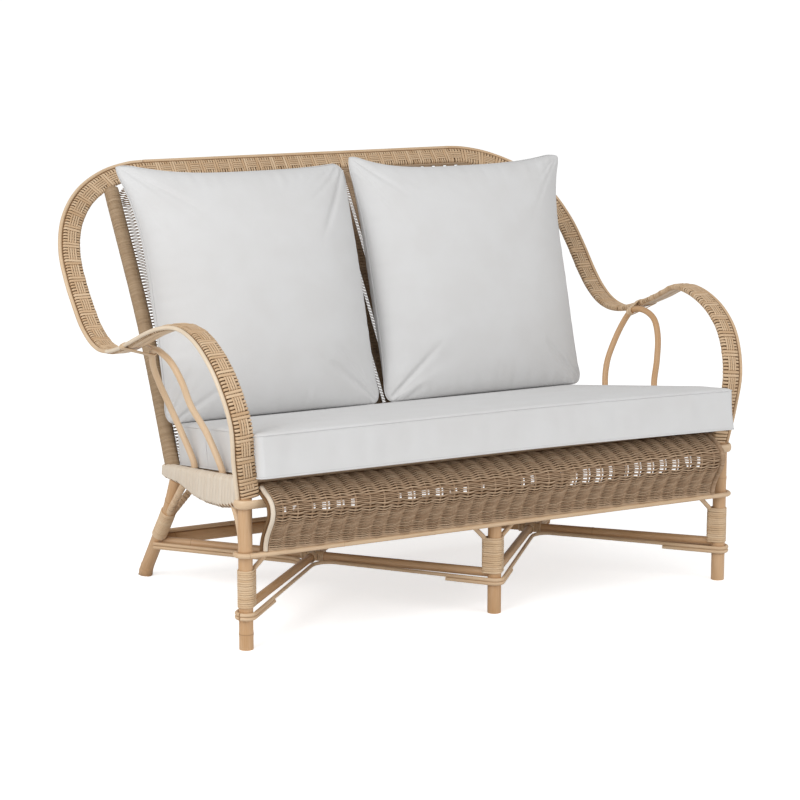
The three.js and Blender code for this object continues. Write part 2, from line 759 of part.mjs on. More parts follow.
const crossPole = ([from, to], grow = 0) => rod([from, to], crossPoleRadius + grow, 12);
const legCutters = [grownLeg(-frontLegSpread), grownLeg(0), grownLeg(frontLegSpread)];
const middleWall = (side) => {
  const block = new THREE.BoxGeometry(2 * cutOverrun, 2 * cutOverrun, 2 * cutOverrun);
  block.translate(side * (cutOverrun - seatGap / 2), backStretcherSpot.y, stretcherHeight);
  return block;
};

const throughLeft = cut(crossPole([backLeft, frontMiddle]), rearLegCutter, stretcherCutter, legCutters[1]);
const throughRight = cut(crossPole([backMiddle, frontRight]),
  middleWall(-1), stretcherCutter, legCutters[2]);
const throughLeftCutter = crossPole([backLeft, frontMiddle], seatGap);
const throughRightCutter = crossPole([backMiddle, frontRight], seatGap);
const halfPole = (from, to, ...tools) => cut(rod([from, to], crossPoleRadius - 2 * seatGap, 12), ...tools);
piece('cross_pole_left', throughLeft, pole);
piece('cross_pole_right', throughRight, pole);
piece('cross_half_left_front', halfPole(frontLeft, junctionLeft, legCutters[0], throughLeftCutter), pole);
piece('cross_half_left_back', halfPole(
  junctionLeft, backMiddle, stretcherCutter, throughLeftCutter, middleWall(1)), pole);
piece('cross_half_right_front', halfPole(
  frontMiddle, junctionRight, legCutters[1], throughRightCutter, throughLeftCutter), pole);
piece('cross_half_right_back', halfPole(
  junctionRight, backRight, rearLegCutterRight, stretcherCutter, throughRightCutter), pole);
const crossGrown = [
  throughLeftCutter,
  throughRightCutter,
  crossPole([frontLeft, backMiddle], seatGap),
  crossPole([frontMiddle, backRight], seatGap),
];

// Double strands of thin cane beside the cross poles, bent round the legs
const strandGap = strandRadius + seatGap;
const strandProfile = [
  [0, -2], [0.7, -1.7], [1, -1], [0.5, 0], [1, 1], [0.7, 1.7],
  [0, 2], [-0.7, 1.7], [-1, 1], [-0.5, 0], [-1, -1], [-0.7, -1.7],
].map(([across, up]) => [across * strandRadius, up * strandRadius]);
const strandZ = (y) => THREE.MathUtils.mapLinear(
  y, 0, backStretcherSpot.y, strandHeight, stretcherHeight - 2 * strandRadius);
const cornerBend = 40; // radius where a strand turns at a crossing

// The flat unit vector square to a line on its left when walking from one point to the other
function leftOf(from, to) {
  const ahead = v(to.x - from.x, to.y - from.y, 0).normalize();
  return v(-ahead.y, ahead.x, 0);
}

// A turn round a point, between two angles
function turn(centre, radius, fromAngle, toAngle, steps) {
  return Array.from({ length: steps + 1 }, (_, step) => {
    const angle = THREE.MathUtils.lerp(fromAngle, toAngle, step / steps);
    return v(centre.x + radius * Math.cos(angle), centre.y + radius * Math.sin(angle), 0);
  });
}

const angleOf = (direction) => Math.atan2(direction.y, direction.x);

// The rounded corner a strand makes at a crossing between two poles, on the side given
function cornerTurn(crossing, from, to, side) {
  const first = leftOf(from, crossing).multiplyScalar(side);
  const second = leftOf(crossing, to).multiplyScalar(side);
  const offset = crossPoleRadius + strandGap + cornerBend;
  const bisector = v(0, 0, 0).addVectors(first, second).normalize();
  const centre = crossing.clone().addScaledVector(bisector, offset / bisector.dot(first));
  let start = angleOf(first) + Math.PI;
  let end = angleOf(second) + Math.PI;
  if (end - start > Math.PI) {
    end -= 2 * Math.PI;
  }
  if (start - end > Math.PI) {
    start -= 2 * Math.PI;
  }
  return turn(centre, cornerBend, start, end, 4);
}

const onFloorPlan = (points) => points.map((point) => v(point.x, point.y, strandZ(point.y)));
const legTurn = legRadius + strandGap;
const leaveLeft = angleOf(leftOf(frontLeft, junctionLeft)); // where the side strand leaves the left leg
const leaveFront = leaveLeft + Math.PI; // where the front strand leaves it
const strandEnd = THREE.MathUtils.degToRad(205);
const endGap = strandRadius / 2 / legTurn; // between the two strands' ends
const arriveMiddle = angleOf(leftOf(frontMiddle, junctionLeft)) + 2 * Math.PI;

const frontHalf = [
  ...turn(frontLeft, legTurn, strandEnd + endGap, leaveFront, 7),
  ...cornerTurn(junctionLeft, frontLeft, frontMiddle, -1),
  ...turn(frontMiddle, legTurn, arriveMiddle, 3 * Math.PI / 2, 4),
];
const frontRow = [
  ...frontHalf,
  ...frontHalf.slice(0, -1).reverse().map((point) => v(-point.x, point.y, point.z)),
];
const strandAlong = (points) => sweep(levelFrames(onFloorPlan(points)), strandProfile);
const frontStrand = strandAlong(frontRow);

const sideRow = [
  backLeft.clone().addScaledVector(leftOf(backLeft, junctionLeft), -legTurn),
  ...cornerTurn(junctionLeft, backLeft, frontLeft, -1),
  ...turn(frontLeft, legTurn, leaveLeft, strandEnd, 5),
];
const sideStrand = cut(strandAlong(sideRow), rearLegCutter);
piece('front_strand', frontStrand, thinRod);
piece('side_strand_left', sideStrand, thinRod);
piece('side_strand_right', mirrored(sideStrand), thinRod);

// One more pair lies along the back stretcher
const backStrandHeight = stretcherHeight + stretcherRadius + strandGap;
const backStrandSpot = onRearLeg(backStrandHeight);
const flatStrand = strandProfile.map(([across, up]) => [up, -across]);
const backStrand = sweep([-1, 1].map((side) => ({
  point: v(-side * backStrandSpot.x, backStretcherSpot.y, backStrandHeight).multiply(v(-1, 1, 1)),
  side: v(0, 1, 0),
  face: upward,
})).reverse(), flatStrand);
piece('back_strand', cut(backStrand, rearLegCutter, rearLegCutterRight), thinRod);

// Corner braces of the front legs: wound to the leg below, then up and inwards to the front rail
const braceAngle = THREE.MathUtils.degToRad(20); // how far behind the leg they lie
const braceFoot = 100;
const braceSpan = 120;

function frontBrace(x, side) {
  const reach = legRadius + seatGap + braceRadius;
  const foot = v(x + side * reach * Math.cos(braceAngle), reach * Math.sin(braceAngle), braceFoot);
  const rows = [[0, 0, 0], [0, 0, 0.29], [0.16, 0.05, 0.39], [0.42, 0.1, 0.53], [1, 1, 1]];
  const end = v(x + side * braceSpan, -(legRadius + braceRadius / 2), seatRailHeight - frontRailHeight / 4);
  return rows.map(([out, ahead, up]) => v(
    THREE.MathUtils.lerp(foot.x, end.x, out),
    THREE.MathUtils.lerp(foot.y, end.y, ahead),
    THREE.MathUtils.lerp(foot.z, end.z, up),
  ));
}

const braceRod = (points, radius, steps = 12) => rod(points, radius, 10, steps);
const outerBrace = cut(braceRod(frontBrace(-frontLegSpread, 1), braceRadius), frontRailCutter, legCutters[0]);
const middleBrace = cut(braceRod(frontBrace(0, -1), braceRadius), frontRailCutter, legCutters[1]);
piece('leg_brace_left', outerBrace, thinRod);
piece('leg_brace_right', mirrored(outerBrace), thinRod);
piece('middle_brace_left', middleBrace, thinRod);
piece('middle_brace_right', mirrored(middleBrace), thinRod);

// Braces from the outer front legs back to the side rails, and from the rear legs to both rear rails
const sideBraceReach = legRadius + seatGap + sideBraceRadius;
const sideBraceFoot = 188;
const sideBraceRise = 116;
const sideBraceSpan = 70;
const sideBraceShares = [[0, 0], [0, 0.24], [0.26, 0.57], [1, 1]]; // back, up
const sideBrace = cut(braceRod(sideBraceShares.map(([back, up]) => {
  const setback = sideBraceReach + back * sideBraceSpan;
  const spread = back > 0 ? skirtCentre(setback) : frontLegSpread;
  return onLeft(spread, setback, sideBraceFoot + up * sideBraceRise);
}), sideBraceRadius, 8), skirtCutter, legCutters[0]);
piece('side_brace_left', sideBrace, thinRod);
piece('side_brace_right', mirrored(sideBrace), thinRod);

const rearBraceFootHeight = 150;
const backBraceFootHeight = 140;
const backBraceSpan = 100;
const rearBraceFoot = onRearLeg(rearBraceFootHeight);
const rearBraceReach = 373;
const rearSideBrace = cut(braceRod([
  rearBraceFoot,
  onLeft(skirtCentre(rearBraceReach), rearBraceReach, skirtTop(rearBraceReach) - skirtDepth / 3),
], rearBraceRadius, 1), rearLegCutter, skirtCutter);
const backBraceFoot = onRearLeg(backBraceFootHeight);
const backBrace = cut(braceRod([
  backBraceFoot,
  v(backBraceFoot.x + backBraceSpan, rearRailSetback, rearRailHeight),
], rearBraceRadius, 1), rearLegCutter, rearRailCutter, braceRod([
  rearBraceFoot,
  onLeft(skirtCentre(rearBraceReach), rearBraceReach, skirtTop(rearBraceReach)),
], rearBraceRadius + seatGap, 1));
piece('rear_side_brace_left', rearSideBrace, wrapped);
piece('rear_side_brace_right', mirrored(rearSideBrace), wrapped);
piece('rear_back_brace_left', backBrace, wrapped);
piece('rear_back_brace_right', mirrored(backBrace), wrapped);

// Windings of cane round a leg and its braces: rings along the axis, every other one standing out

// The outline round a bundle of rods, as the furthest points in even directions
function bundleOutline(rods, wall, sides) {
  return Array.from({ length: sides }, (_, i) => {
    const angle = ((i + 0.5) / sides) * 2 * Math.PI;
    const direction = [Math.cos(angle), Math.sin(angle)];
    const [x, y, radius] = rods
      .map((member) => [...member, member[0] * direction[0] + member[1] * direction[1] + member[2]])
      .sort((a, b) => b[3] - a[3])[0];
    return [x + (radius + wall) * direction[0], y + (radius + wall) * direction[1]];
  });
}

function winding(frameAt, length, rods, sides = 14) {
  const ridges = Math.round(length / windingPitch);
  const rings = [];
  for (let ring = 0; ring <= 2 * ridges; ring += 1) {
    const wall = seatGap + windingWall + (ring % 2 === 1 ? windingRidge : 0);
    const { point, side, face } = frameAt(ring / (2 * ridges));
    rings.push(bundleOutline(rods, wall, sides).map(([a, b]) => (
      point.clone().addScaledVector(side, a).addScaledVector(face, b)
    )));
  }
  return loft(rings);
}

const legWinding = (x, sides) => {
  const reach = legRadius + seatGap + braceRadius;
  const rods = [
    [0, 0, legRadius],
    ...sides.map((side) => [side * reach * Math.cos(braceAngle), reach * Math.sin(braceAngle), braceRadius]),
  ];
  return winding((share) => ({
    point: v(x, 0, windingFoot + share * windingHeight), side: v(1, 0, 0), face: v(0, 1, 0),
  }), windingHeight, rods);
};
const braceCutter = (x, side) => braceRod(frontBrace(x, side), braceRadius + seatGap);
const leftWinding = cut(legWinding(-frontLegSpread, [1]),
  legCutters[0], braceCutter(-frontLegSpread, 1), ...crossGrown);
const middleWinding = cut(legWinding(0, [-1, 1]),
  legCutters[1], braceCutter(0, 1), braceCutter(0, -1), ...crossGrown);
const rightWinding = cut(legWinding(frontLegSpread, [-1]),
  legCutters[2], braceCutter(frontLegSpread, -1), ...crossGrown);
piece('leg_winding_left', leftWinding, cane);
piece('leg_winding_middle', middleWinding, cane);
piece('leg_winding_right', rightWinding, cane);

const rearWindingFoot = 114;
const rearWindingTop = 172;
const rearWinding = cut(winding((share) => {
  const height = THREE.MathUtils.lerp(rearWindingFoot, rearWindingTop, share);
  const place = shareWhere(rearLegPath, 'z', height);
  const ahead = rearLegPath.getTangent(place);
  const side = v(1, 0, 0).addScaledVector(ahead, -ahead.x).normalize();
  return { point: rearLegPath.getPoint(place), side, face: v(0, 0, 0).crossVectors(ahead, side) };
}, (rearWindingTop - rearWindingFoot) * Math.SQRT2, [[0, 0, legRadius]]), rearLegCutter, stretcherCutter,
braceRod([rearBraceFoot, onLeft(skirtCentre(rearBraceReach), rearBraceReach, skirtTop(rearBraceReach))],
  rearBraceRadius + seatGap, 1),
braceRod([backBraceFoot, v(backBraceFoot.x + backBraceSpan, rearRailSetback, rearRailHeight)],
  rearBraceRadius + seatGap, 1),
sweep([-1, 1].map((side) => ({
  point: v(side * rearFootSpread, backStretcherSpot.y, backStrandHeight), side: v(0, -1, 0), face: upward,
})), ovalProfile(2 * strandRadius + seatGap, strandRadius + 2 * seatGap, 1)));
piece('rear_winding_left', rearWinding, cane);
piece('rear_winding_right', mirrored(rearWinding), cane);

// Bindings over the crossings: short sleeves round the poles
const sleeveReach = 22;

function crossing(centre, ends) {
  const sleeves = ends.map((end) => {
    const reach = v(0, 0, 0).subVectors(end, centre).setLength(sleeveReach);
    return rod([centre.clone().sub(reach), centre.clone().add(reach)],
      crossPoleRadius + seatGap + bindingWall, 14);
  });
  return cut(join(...sleeves), ...crossGrown);
}

const bindingOverLeft = crossing(junctionLeft, [frontMiddle, frontLeft]);
const bindingOverRight = crossing(junctionRight, [frontRight, frontMiddle]);
piece('crossing_binding_left', bindingOverLeft, cane);
piece('crossing_binding_right', bindingOverRight, cane);

// Seat cushion: a boxed slab with rounded edges and a crown, wider in front of the arms

const seatCushionHalfWidth = frontLegSpread - bandWidth / 2 - seatCushionArmGap;
const seatCushionRearHalfWidth = skirtRearSpread - skirtThickness / 2 - seatCushionRailGap;
const seatCushionLip = frontLegSpread - seatCushionLipInset; // half width in front of the arms
const seatMiddle = (seatCushionRear - seatCushionOverhang) / 2;
const seatLength = seatCushionRear + seatCushionOverhang;
const edgeRound = 24; // radius of the corners seen from above
const wedge = (seatCushionHalfWidth - seatCushionRearHalfWidth) / seatLength;
const cornerSteps = 3;

// One side of the outline, from the front's middle to the rear's middle
function seatOutline() {
  const points = [];
  const corner = (x, y, fromAngle, radius) => {
    for (let step = 0; step <= cornerSteps; step += 1) {
      const angle = fromAngle + (step / cornerSteps) * Math.PI / 2;
      points.push([x - radius + radius * Math.cos(angle), y + radius * Math.sin(angle)]);
    }
  };
  const frontSteps = 7;
  for (let step = 0; step <= frontSteps; step += 1) {
    points.push([(seatCushionLip - edgeRound) * step / (frontSteps + 1), -seatCushionOverhang]);
  }
  corner(seatCushionLip, -seatCushionOverhang + edgeRound, -Math.PI / 2, edgeRound);
  points.push([seatCushionLip, -lipRear], [seatCushionHalfWidth, -lipRear + seatCushionLip - seatCushionHalfWidth]);
  const sideSteps = 6;
  for (let step = 1; step < sideSteps; step += 1) {
    const y = THREE.MathUtils.lerp(-lipRear, seatCushionRear - edgeRound, step / sideSteps);
    points.push([seatCushionHalfWidth - wedge * (y + lipRear), y]);
  }
  corner(seatCushionRearHalfWidth, seatCushionRear - edgeRound, 0, edgeRound);
  for (let step = 1; step <= frontSteps; step += 1) {
    points.push([(seatCushionRearHalfWidth - edgeRound) * (1 - step / frontSteps), seatCushionRear]);
  }
  return points;
}

const seatRight = seatOutline();
const seatRing = [...seatRight, ...seatRight.slice(1, -1).reverse().map(([x, y]) => [-x, y])];

// Levels from the underside to the crown: inset from the outline, height as a share of the side, crown share
const seatLevels = [
  [24, 0, 0], [9, 0.04, 0], [0, 0.15, 0], [3, 0.5, 0], [0, 0.86, 0], [8, 0.97, 0],
  [24, 1, 0.1], [80, 1, 0.5], [180, 1, 0.9], [250, 1, 1],
];
const seatSide = seatCushionThickness - seatCushionCrown;
const seatSquare = v(0, Math.sin(seatSlope), Math.cos(seatSlope)); // square to the deck
const seatRings = seatLevels.map(([inset, side, crown]) => seatRing.map(([x, y]) => {
  const shrunkX = x * (1 - inset / seatCushionLip);
  const shrunkY = seatMiddle + (y - seatMiddle) * (1 - inset / (seatLength / 2));
  const height = seatGap + side * seatSide + crown * seatCushionCrown;
  return v(shrunkX, shrunkY, deckTop(shrunkY)).addScaledVector(seatSquare, height);
}));
const seatCushion = cut(loft(seatRings), postCutter, postCutterRight, rearRailCutter, bandCutter, mirrored(bandCutter));
piece('seat_cushion', seatCushion, cloth);

// Back cushions: pillows with a seam all round, sides drawn in between pointed corners, leaning back

const backAlong = v(0, Math.sin(backCushionLean), Math.cos(backCushionLean));
const backForward = v(0, -Math.cos(backCushionLean), Math.sin(backCushionLean));
const backFoot = v(0, backCushionFoot, deckTop(backCushionFoot) + seatCushionThickness + cushionGap);
const sideDraw = 16; // how far the middle of a side is drawn in
const topDraw = 14;
const earReach = 16; // how far the upper corners stand out
const pillowSteps = 7;

// The seam, once round from the lower corner nearest the sofa's middle, as shares of half width and height
function pillowSeam() {
  const corners = [[-1, -1], [1, -1], [1, 1], [-1, 1]];
  return corners.flatMap(([x, y], i) => {
    const [nextX, nextY] = corners[(i + 1) % corners.length];
    return Array.from({ length: pillowSteps }, (_, step) => {
      const share = (1 - Math.cos((step / pillowSteps) * Math.PI)) / 2;
      return [THREE.MathUtils.lerp(x, nextX, share), THREE.MathUtils.lerp(y, nextY, share)];
    });
  });
}

const pillowBellies = [[1, 0], [0.97, 0.2], [0.88, 0.44], [0.72, 0.68], [0.5, 0.87], [0.25, 0.97], [0.08, 1]];

function pillow(side) {
  const centre = side * (backCushionWidth + cushionGap) / 2;
  const seam = pillowSeam();
  const ring = (scale, depth) => seam.map(([seamA, seamB]) => {
    const a = seamA * THREE.MathUtils.lerp(Math.sqrt(1 - seamB * seamB / 2), 1, scale);
    const b = seamB * THREE.MathUtils.lerp(Math.sqrt(1 - seamA * seamA / 2), 1, scale);
    const ear = Math.max(b, 0) ** 6 * Math.abs(a) ** 6 * earReach;
    const across = a * (backCushionWidth / 2 - sideDraw * (1 - b * b)) * scale;
    const up = (b + 1) / 2 * backCushionHeight - topDraw * Math.max(b, 0) * (1 - a * a) + ear;
    const low = backCushionHeight * 0.46;
    return v(centre + across, 0, 0)
      .add(backFoot)
      .addScaledVector(backAlong, low + (up - low) * scale)
      .addScaledVector(backForward, depth);
  });
  const front = pillowBellies.map(([scale, belly]) => ring(scale, belly * backCushionFrontDepth));
  const rear = pillowBellies.slice(1).map(([scale, belly]) => ring(scale, -belly * backCushionRearDepth));
  return loft([...rear.reverse(), ...front]);
}

const seatTopBlock = (() => {
  const block = new THREE.BoxGeometry(4 * backCushionWidth, 2 * seatLength, 4 * cutOverrun);
  block.rotateX(-seatSlope);
  const drop = (2 * cutOverrun - seatCushionThickness - cushionGap / 2) / Math.cos(seatSlope);
  block.translate(0, seatMiddle, deckTop(seatMiddle) - drop);
  return block;
})();
const behindPanel = (() => {
  const block = new THREE.BoxGeometry(4 * backCushionWidth, 4 * cutOverrun, 2 * backCushionHeight);
  block.rotateX(-Math.atan2(panelAhead.y, panelAhead.z));
  const middle = v(0, 0, 0).lerpVectors(panelFoot, panelHead, 1 / 2);
  middle.addScaledVector(panelOutward, panelThickness / 2 + stakeRelief + seatGap - 2 * cutOverrun);
  block.translate(middle.x, middle.y, middle.z);
  return block;
})();
const centreWall = (side) => {
  const block = new THREE.BoxGeometry(backCushionWidth, 4 * backCushionWidth, 4 * backCushionWidth);
  block.translate(-side * (backCushionWidth - cushionGap) / 2, backCushionFoot, backCushionHeight);
  return block;
};
const pillowLeft = cut(pillow(-1), seatTopBlock, behindPanel, postCutter, centreWall(-1));
piece('back_cushion_left', pillowLeft, cloth);
piece('back_cushion_right', mirrored(pillowLeft), cloth);

// The origin goes to the middle of the footprint, on the floor
const bounds = new THREE.Box3().setFromObject(sofa);
sofa.position.y = -(bounds.min.y + bounds.max.y) / 2;

sofa.updateMatrixWorld(true);
export default sofa;
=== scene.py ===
# %% [markdown]
# # A rattan garden sofa
# The frame is bent rattan poles with woven arms, a woven apron and three white cushions.
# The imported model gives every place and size. This lesson dresses it: each pole becomes a grown pole, each
# woven part is laid reed by reed, and the cushions are blown up as cloth.

# %% Load the frame
import math

import bpy
import numpy as np
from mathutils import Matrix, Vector


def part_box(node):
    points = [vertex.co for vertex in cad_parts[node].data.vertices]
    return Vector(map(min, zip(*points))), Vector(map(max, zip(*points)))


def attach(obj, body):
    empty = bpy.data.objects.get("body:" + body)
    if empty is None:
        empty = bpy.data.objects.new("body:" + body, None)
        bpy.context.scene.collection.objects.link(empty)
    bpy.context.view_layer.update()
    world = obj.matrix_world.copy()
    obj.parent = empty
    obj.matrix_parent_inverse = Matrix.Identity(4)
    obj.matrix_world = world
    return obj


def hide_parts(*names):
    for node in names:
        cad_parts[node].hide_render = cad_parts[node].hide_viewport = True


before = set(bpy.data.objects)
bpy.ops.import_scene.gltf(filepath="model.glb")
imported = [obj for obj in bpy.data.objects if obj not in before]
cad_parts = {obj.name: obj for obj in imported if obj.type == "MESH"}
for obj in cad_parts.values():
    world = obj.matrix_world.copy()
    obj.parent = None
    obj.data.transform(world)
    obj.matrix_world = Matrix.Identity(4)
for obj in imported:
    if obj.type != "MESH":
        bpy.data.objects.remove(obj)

scene = bpy.context.scene
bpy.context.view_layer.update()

# %% [markdown]
# ## Places
# The shapes are written in millimetres from the row of front legs, as on a workshop drawing, and one function
# brings them into the frame. Smooth bends run through a few points, spaced so that no bend overshoots.

# %% Lengths, places and smooth paths
MM = 0.001
leg_low, leg_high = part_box("front_leg_middle")
leg_line = (leg_low.y + leg_high.y) / 2  # where the front legs stand in the frame


def to_frame(points):
    """Millimetres from the front legs' row, to metres in the frame."""
    return np.asarray(points, float) * MM + np.array([0.0, leg_line, 0.0])


def unit(vectors):
    """The same directions with a length of one."""
    vectors = np.asarray(vectors, float)
    return vectors / np.linalg.norm(vectors, axis=-1, keepdims=True)


def walk(points):
    """How far along a line each of its points lies."""
    return np.concatenate([[0], np.cumsum(np.linalg.norm(np.diff(points, axis=0), axis=1))])


def read_off(wanted, places, rows):
    """The rows' values at the wanted places; places say where each row lies."""
    return np.stack([np.interp(wanted, places, rows[:, k]) for k in range(rows.shape[1])], axis=1)


def smooth_path(rows, count, even=True):
    """count + 1 points on a smooth curve through the rows, at even distances or at even shares of the rows."""
    rows = np.asarray(rows, float)
    if len(rows) == 2:
        share = np.linspace(0, 1, count + 1)[:, None]
        return rows[0] * (1 - share) + rows[1] * share
    around = np.vstack([2 * rows[0] - rows[1], rows, 2 * rows[-1] - rows[-2]])
    fine = 2400 if even else count
    points = []
    for place in np.linspace(0, len(rows) - 1, fine + 1):
        i = min(int(place), len(rows) - 2)
        w = place - i
        a, b, c, d = around[i:i + 4]
        before, between, after = (max(math.sqrt(np.linalg.norm(q - p)), 1e-4) for p, q in ((a, b), (b, c), (c, d)))
        pull_b = ((b - a) / before - (c - a) / (before + between) + (c - b) / between) * between
        pull_c = ((c - b) / between - (d - b) / (between + after) + (d - c) / after) * between
        points.append(b + pull_b * w + (3 * (c - b) - 2 * pull_b - pull_c) * w**2
                      + (2 * (b - c) + pull_b + pull_c) * w**3)
    points = np.array(points)
    if not even:
        return points
    walked = walk(points)
    return read_off(np.linspace(0, walked[-1], count + 1), walked, points)


def mirrored(points):
    """The same points on the other side of the sofa."""
    return np.asarray(points, float) * np.array([-1.0, 1.0, 1.0])


SIDES = (("left", np.array([1, 1, 1])), ("right", np.array([-1, 1, 1])))  # names, and what turns left to it


def height_where(path, height):
    """The place on a path where it passes a height."""
    order = np.argsort(path[:, 2])
    return read_off([height], path[order, 2], path[order])[0]


# %% [markdown]
# ## Sizes
# The poles, legs, seat and back of the real sofa, in millimetres.

# %% Sizes of the frame
GAP = 0.3  # left between two pieces that touch
LEG, POST, REAR_RAIL, STRETCHER, CROSS, BEARER = 14.5, 16.7, 13, 13.5, 9.5, 11  # radii of the poles
ARCH, BRACE, SIDE_BRACE, REAR_BRACE, BORDER, BOTTOM_RAIL, STRAND = 7, 5, 6, 7.5, 5.7, 5.2, 4  # thin rods
LEG_SPREAD, REAR_SPREAD, REAR_FOOT = 578, 524, 655
RAIL_HEIGHT, APRON_RAIL_HEIGHT, STRAND_HEIGHT, STRETCHER_HEIGHT = 300, 196, 71, 95
SLOPE = math.radians(8.2)
FRONT_RAIL_TALL, FRONT_RAIL_DEEP = 18, 9
LEG_TOP = RAIL_HEIGHT + FRONT_RAIL_TALL / 2 + GAP
SKIRT_FRONT = LEG + GAP
SKIRT_LENGTH, SKIRT_THICK, SKIRT_DEPTH = 494, 24, 68
SKIRT_LIP = 4  # how far the side rail stands above the deck
DECK_FRONT, DECK_DEPTH, DECK_THICK, DECK_HEIGHT = 10, 477, 12, 346
REAR_RAIL_BACK, REAR_RAIL_HEIGHT, LEG_HEAD_BACK = 503, 269, 459  # back is measured from the front legs
CROSS_HEIGHT, DECK_POLE_BACK, BEARER_SPREAD = 86, 32, 190


def deck_top(y):
    """The height of the sloping deck's upper face."""
    return DECK_HEIGHT - (y - DECK_FRONT) * math.tan(SLOPE)


def deck_under(y):
    """The height of the deck's lower face."""
    return deck_top(y) - DECK_THICK / math.cos(SLOPE)


def skirt_centre(y):
    """How far from the middle a side rail runs."""
    return LEG_SPREAD + (REAR_SPREAD - LEG_SPREAD) * (y - SKIRT_FRONT) / SKIRT_LENGTH


rear_leg_top = deck_top(LEG_HEAD_BACK) - SKIRT_DEPTH * 0.53 / 2
rear_leg_rows = [(-REAR_SPREAD, LEG_HEAD_BACK + (REAR_FOOT - LEG_HEAD_BACK) * back, up * rear_leg_top)
                 for back, up in ((1.16, -0.13), (1, 0), (0.53, 0.42), (0.23, 0.69), (0.02, 0.97))]
rear_leg_path = smooth_path(rear_leg_rows, 300)
stretcher_spot = height_where(rear_leg_path, STRETCHER_HEIGHT)
print("rear leg meets the stretcher at", stretcher_spot.round(1))

# %% [markdown]
# ## Tools for nodes and materials
# One function adds a node with its settings and links, for materials and for Geometry Nodes alike. Colours are
# written as on screen and turned to linear by one function.

# %% Nodes and colours


def add(tree, kind, *values, out=0, **words):
    """Makes a node and gives one of its outputs. Values fill the first sockets in their order. Words name settings
    or sockets, and i6 is the socket numbered 6. Sockets are linked, other values are set."""
    made = tree.nodes.new(kind)
    for word in [word for word in words if hasattr(made, word)]:
        setattr(made, word, words.pop(word))
    sockets = list(zip(made.inputs, values))
    sockets += [(made.inputs[int(word[1:]) if word[1:].isdigit() else word.replace("_", " ")], value)
                for word, value in words.items()]
    for socket, value in sockets:
        if isinstance(value, bpy.types.NodeSocket):
            tree.links.new(value, socket)
        else:
            socket.default_value = value
    return made.outputs[out]


def linear(code):
    """A colour as on screen, such as c9a070, to linear RGBA."""
    parts = [int(code[i:i + 2], 16) / 255 for i in (0, 2, 4)]
    return [p / 12.92 if p <= 0.04045 else ((p + 0.055) / 1.055) ** 2.4 for p in parts] + [1.0]


def math_node(tree, operation, first, second=0.0, clamp=False):
    """One step of arithmetic."""
    return add(tree, "ShaderNodeMath", first, second, operation=operation, use_clamp=clamp)


def new_material(name):
    """A material, its tree and its shader."""
    made = bpy.data.materials.new(name)
    made.use_nodes = True
    shader = made.node_tree.nodes["Principled BSDF"]
    return made, made.node_tree, shader


def blend_colours(tree, share, first, second):
    """The second colour over the first by a share."""
    return add(tree, "ShaderNodeMix", share, data_type="RGBA", i6=first, i7=second, out=2)


# %% [markdown]
# ## Finishes
# Rattan is a climbing palm. Peeled, its core is a satin straw-brown with fine lengthwise fibres and a dark line
# at each growth joint. Its skin, split off, is the flat glossy cane that binds joints. The fibres follow the
# rod, so the pattern reads a "grain" attribute: the point's place on the rod as if it were straight.

# %% Rattan finishes


def rattan(name, pale, deep, fibre=0.0009, rough=0.48, tone_share=0.5, joint_colour=None, coat=0.0):
    """Cane or pole: fine lengthwise fibres, slow patches of colour, a tone of its own for each strip."""
    made, tree, shader = new_material(name)
    grain = add(tree, "ShaderNodeAttribute", attribute_name="grain", out="Vector")
    tone = add(tree, "ShaderNodeAttribute", attribute_name="tone", out="Fac")
    apart = add(tree, "ShaderNodeCombineXYZ", math_node(tree, "MULTIPLY", tone, 7.0), 0.0, 0.0)
    placed = add(tree, "ShaderNodeVectorMath", grain, apart, operation="ADD")
    stretched = add(tree, "ShaderNodeMapping", Vector=placed, Scale=(0.02 / fibre, 1 / fibre, 1 / fibre))
    fibres = add(tree, "ShaderNodeTexNoise", Vector=stretched, Scale=1.0, Detail=4.0, Roughness=0.6, out="Fac")
    slow_place = add(tree, "ShaderNodeMapping", Vector=placed, Scale=(9, 40, 40))
    slow = add(tree, "ShaderNodeTexNoise", Vector=slow_place, Scale=1.0, Detail=3.0, out="Fac")
    fibre_share = add(tree, "ShaderNodeMapRange", fibres, 0.3, 0.72, 0.0, 0.62)
    slow_share = add(tree, "ShaderNodeMapRange", slow, 0.36, 0.68, 0.0, 0.35)
    tone_part = math_node(tree, "MULTIPLY", tone, tone_share)
    share = math_node(tree, "ADD", math_node(tree, "ADD", fibre_share, slow_share), tone_part)
    share = math_node(tree, "MULTIPLY", share, 0.72, clamp=True)
    colour = blend_colours(tree, share, linear(pale), linear(deep))
    if joint_colour:
        joint = add(tree, "ShaderNodeAttribute", attribute_name="joint", out="Fac")
        line = add(tree, "ShaderNodeMapRange", joint, 0.72, 0.97, 0.0, 0.55)
        colour = blend_colours(tree, line, colour, linear(joint_colour))
    tree.links.new(colour, shader.inputs["Base Color"])
    gloss = add(tree, "ShaderNodeMapRange", fibres, 0.25, 0.75, rough - 0.07, rough + 0.12)
    tree.links.new(gloss, shader.inputs["Roughness"])
    bump = add(tree, "ShaderNodeBump", Height=fibres, Distance=0.00012, Strength=0.6)
    tree.links.new(bump, shader.inputs["Normal"])
    shader.inputs["IOR"].default_value = 1.5
    shader.inputs["Coat Weight"].default_value = coat
    shader.inputs["Coat Roughness"].default_value = 0.3
    return made


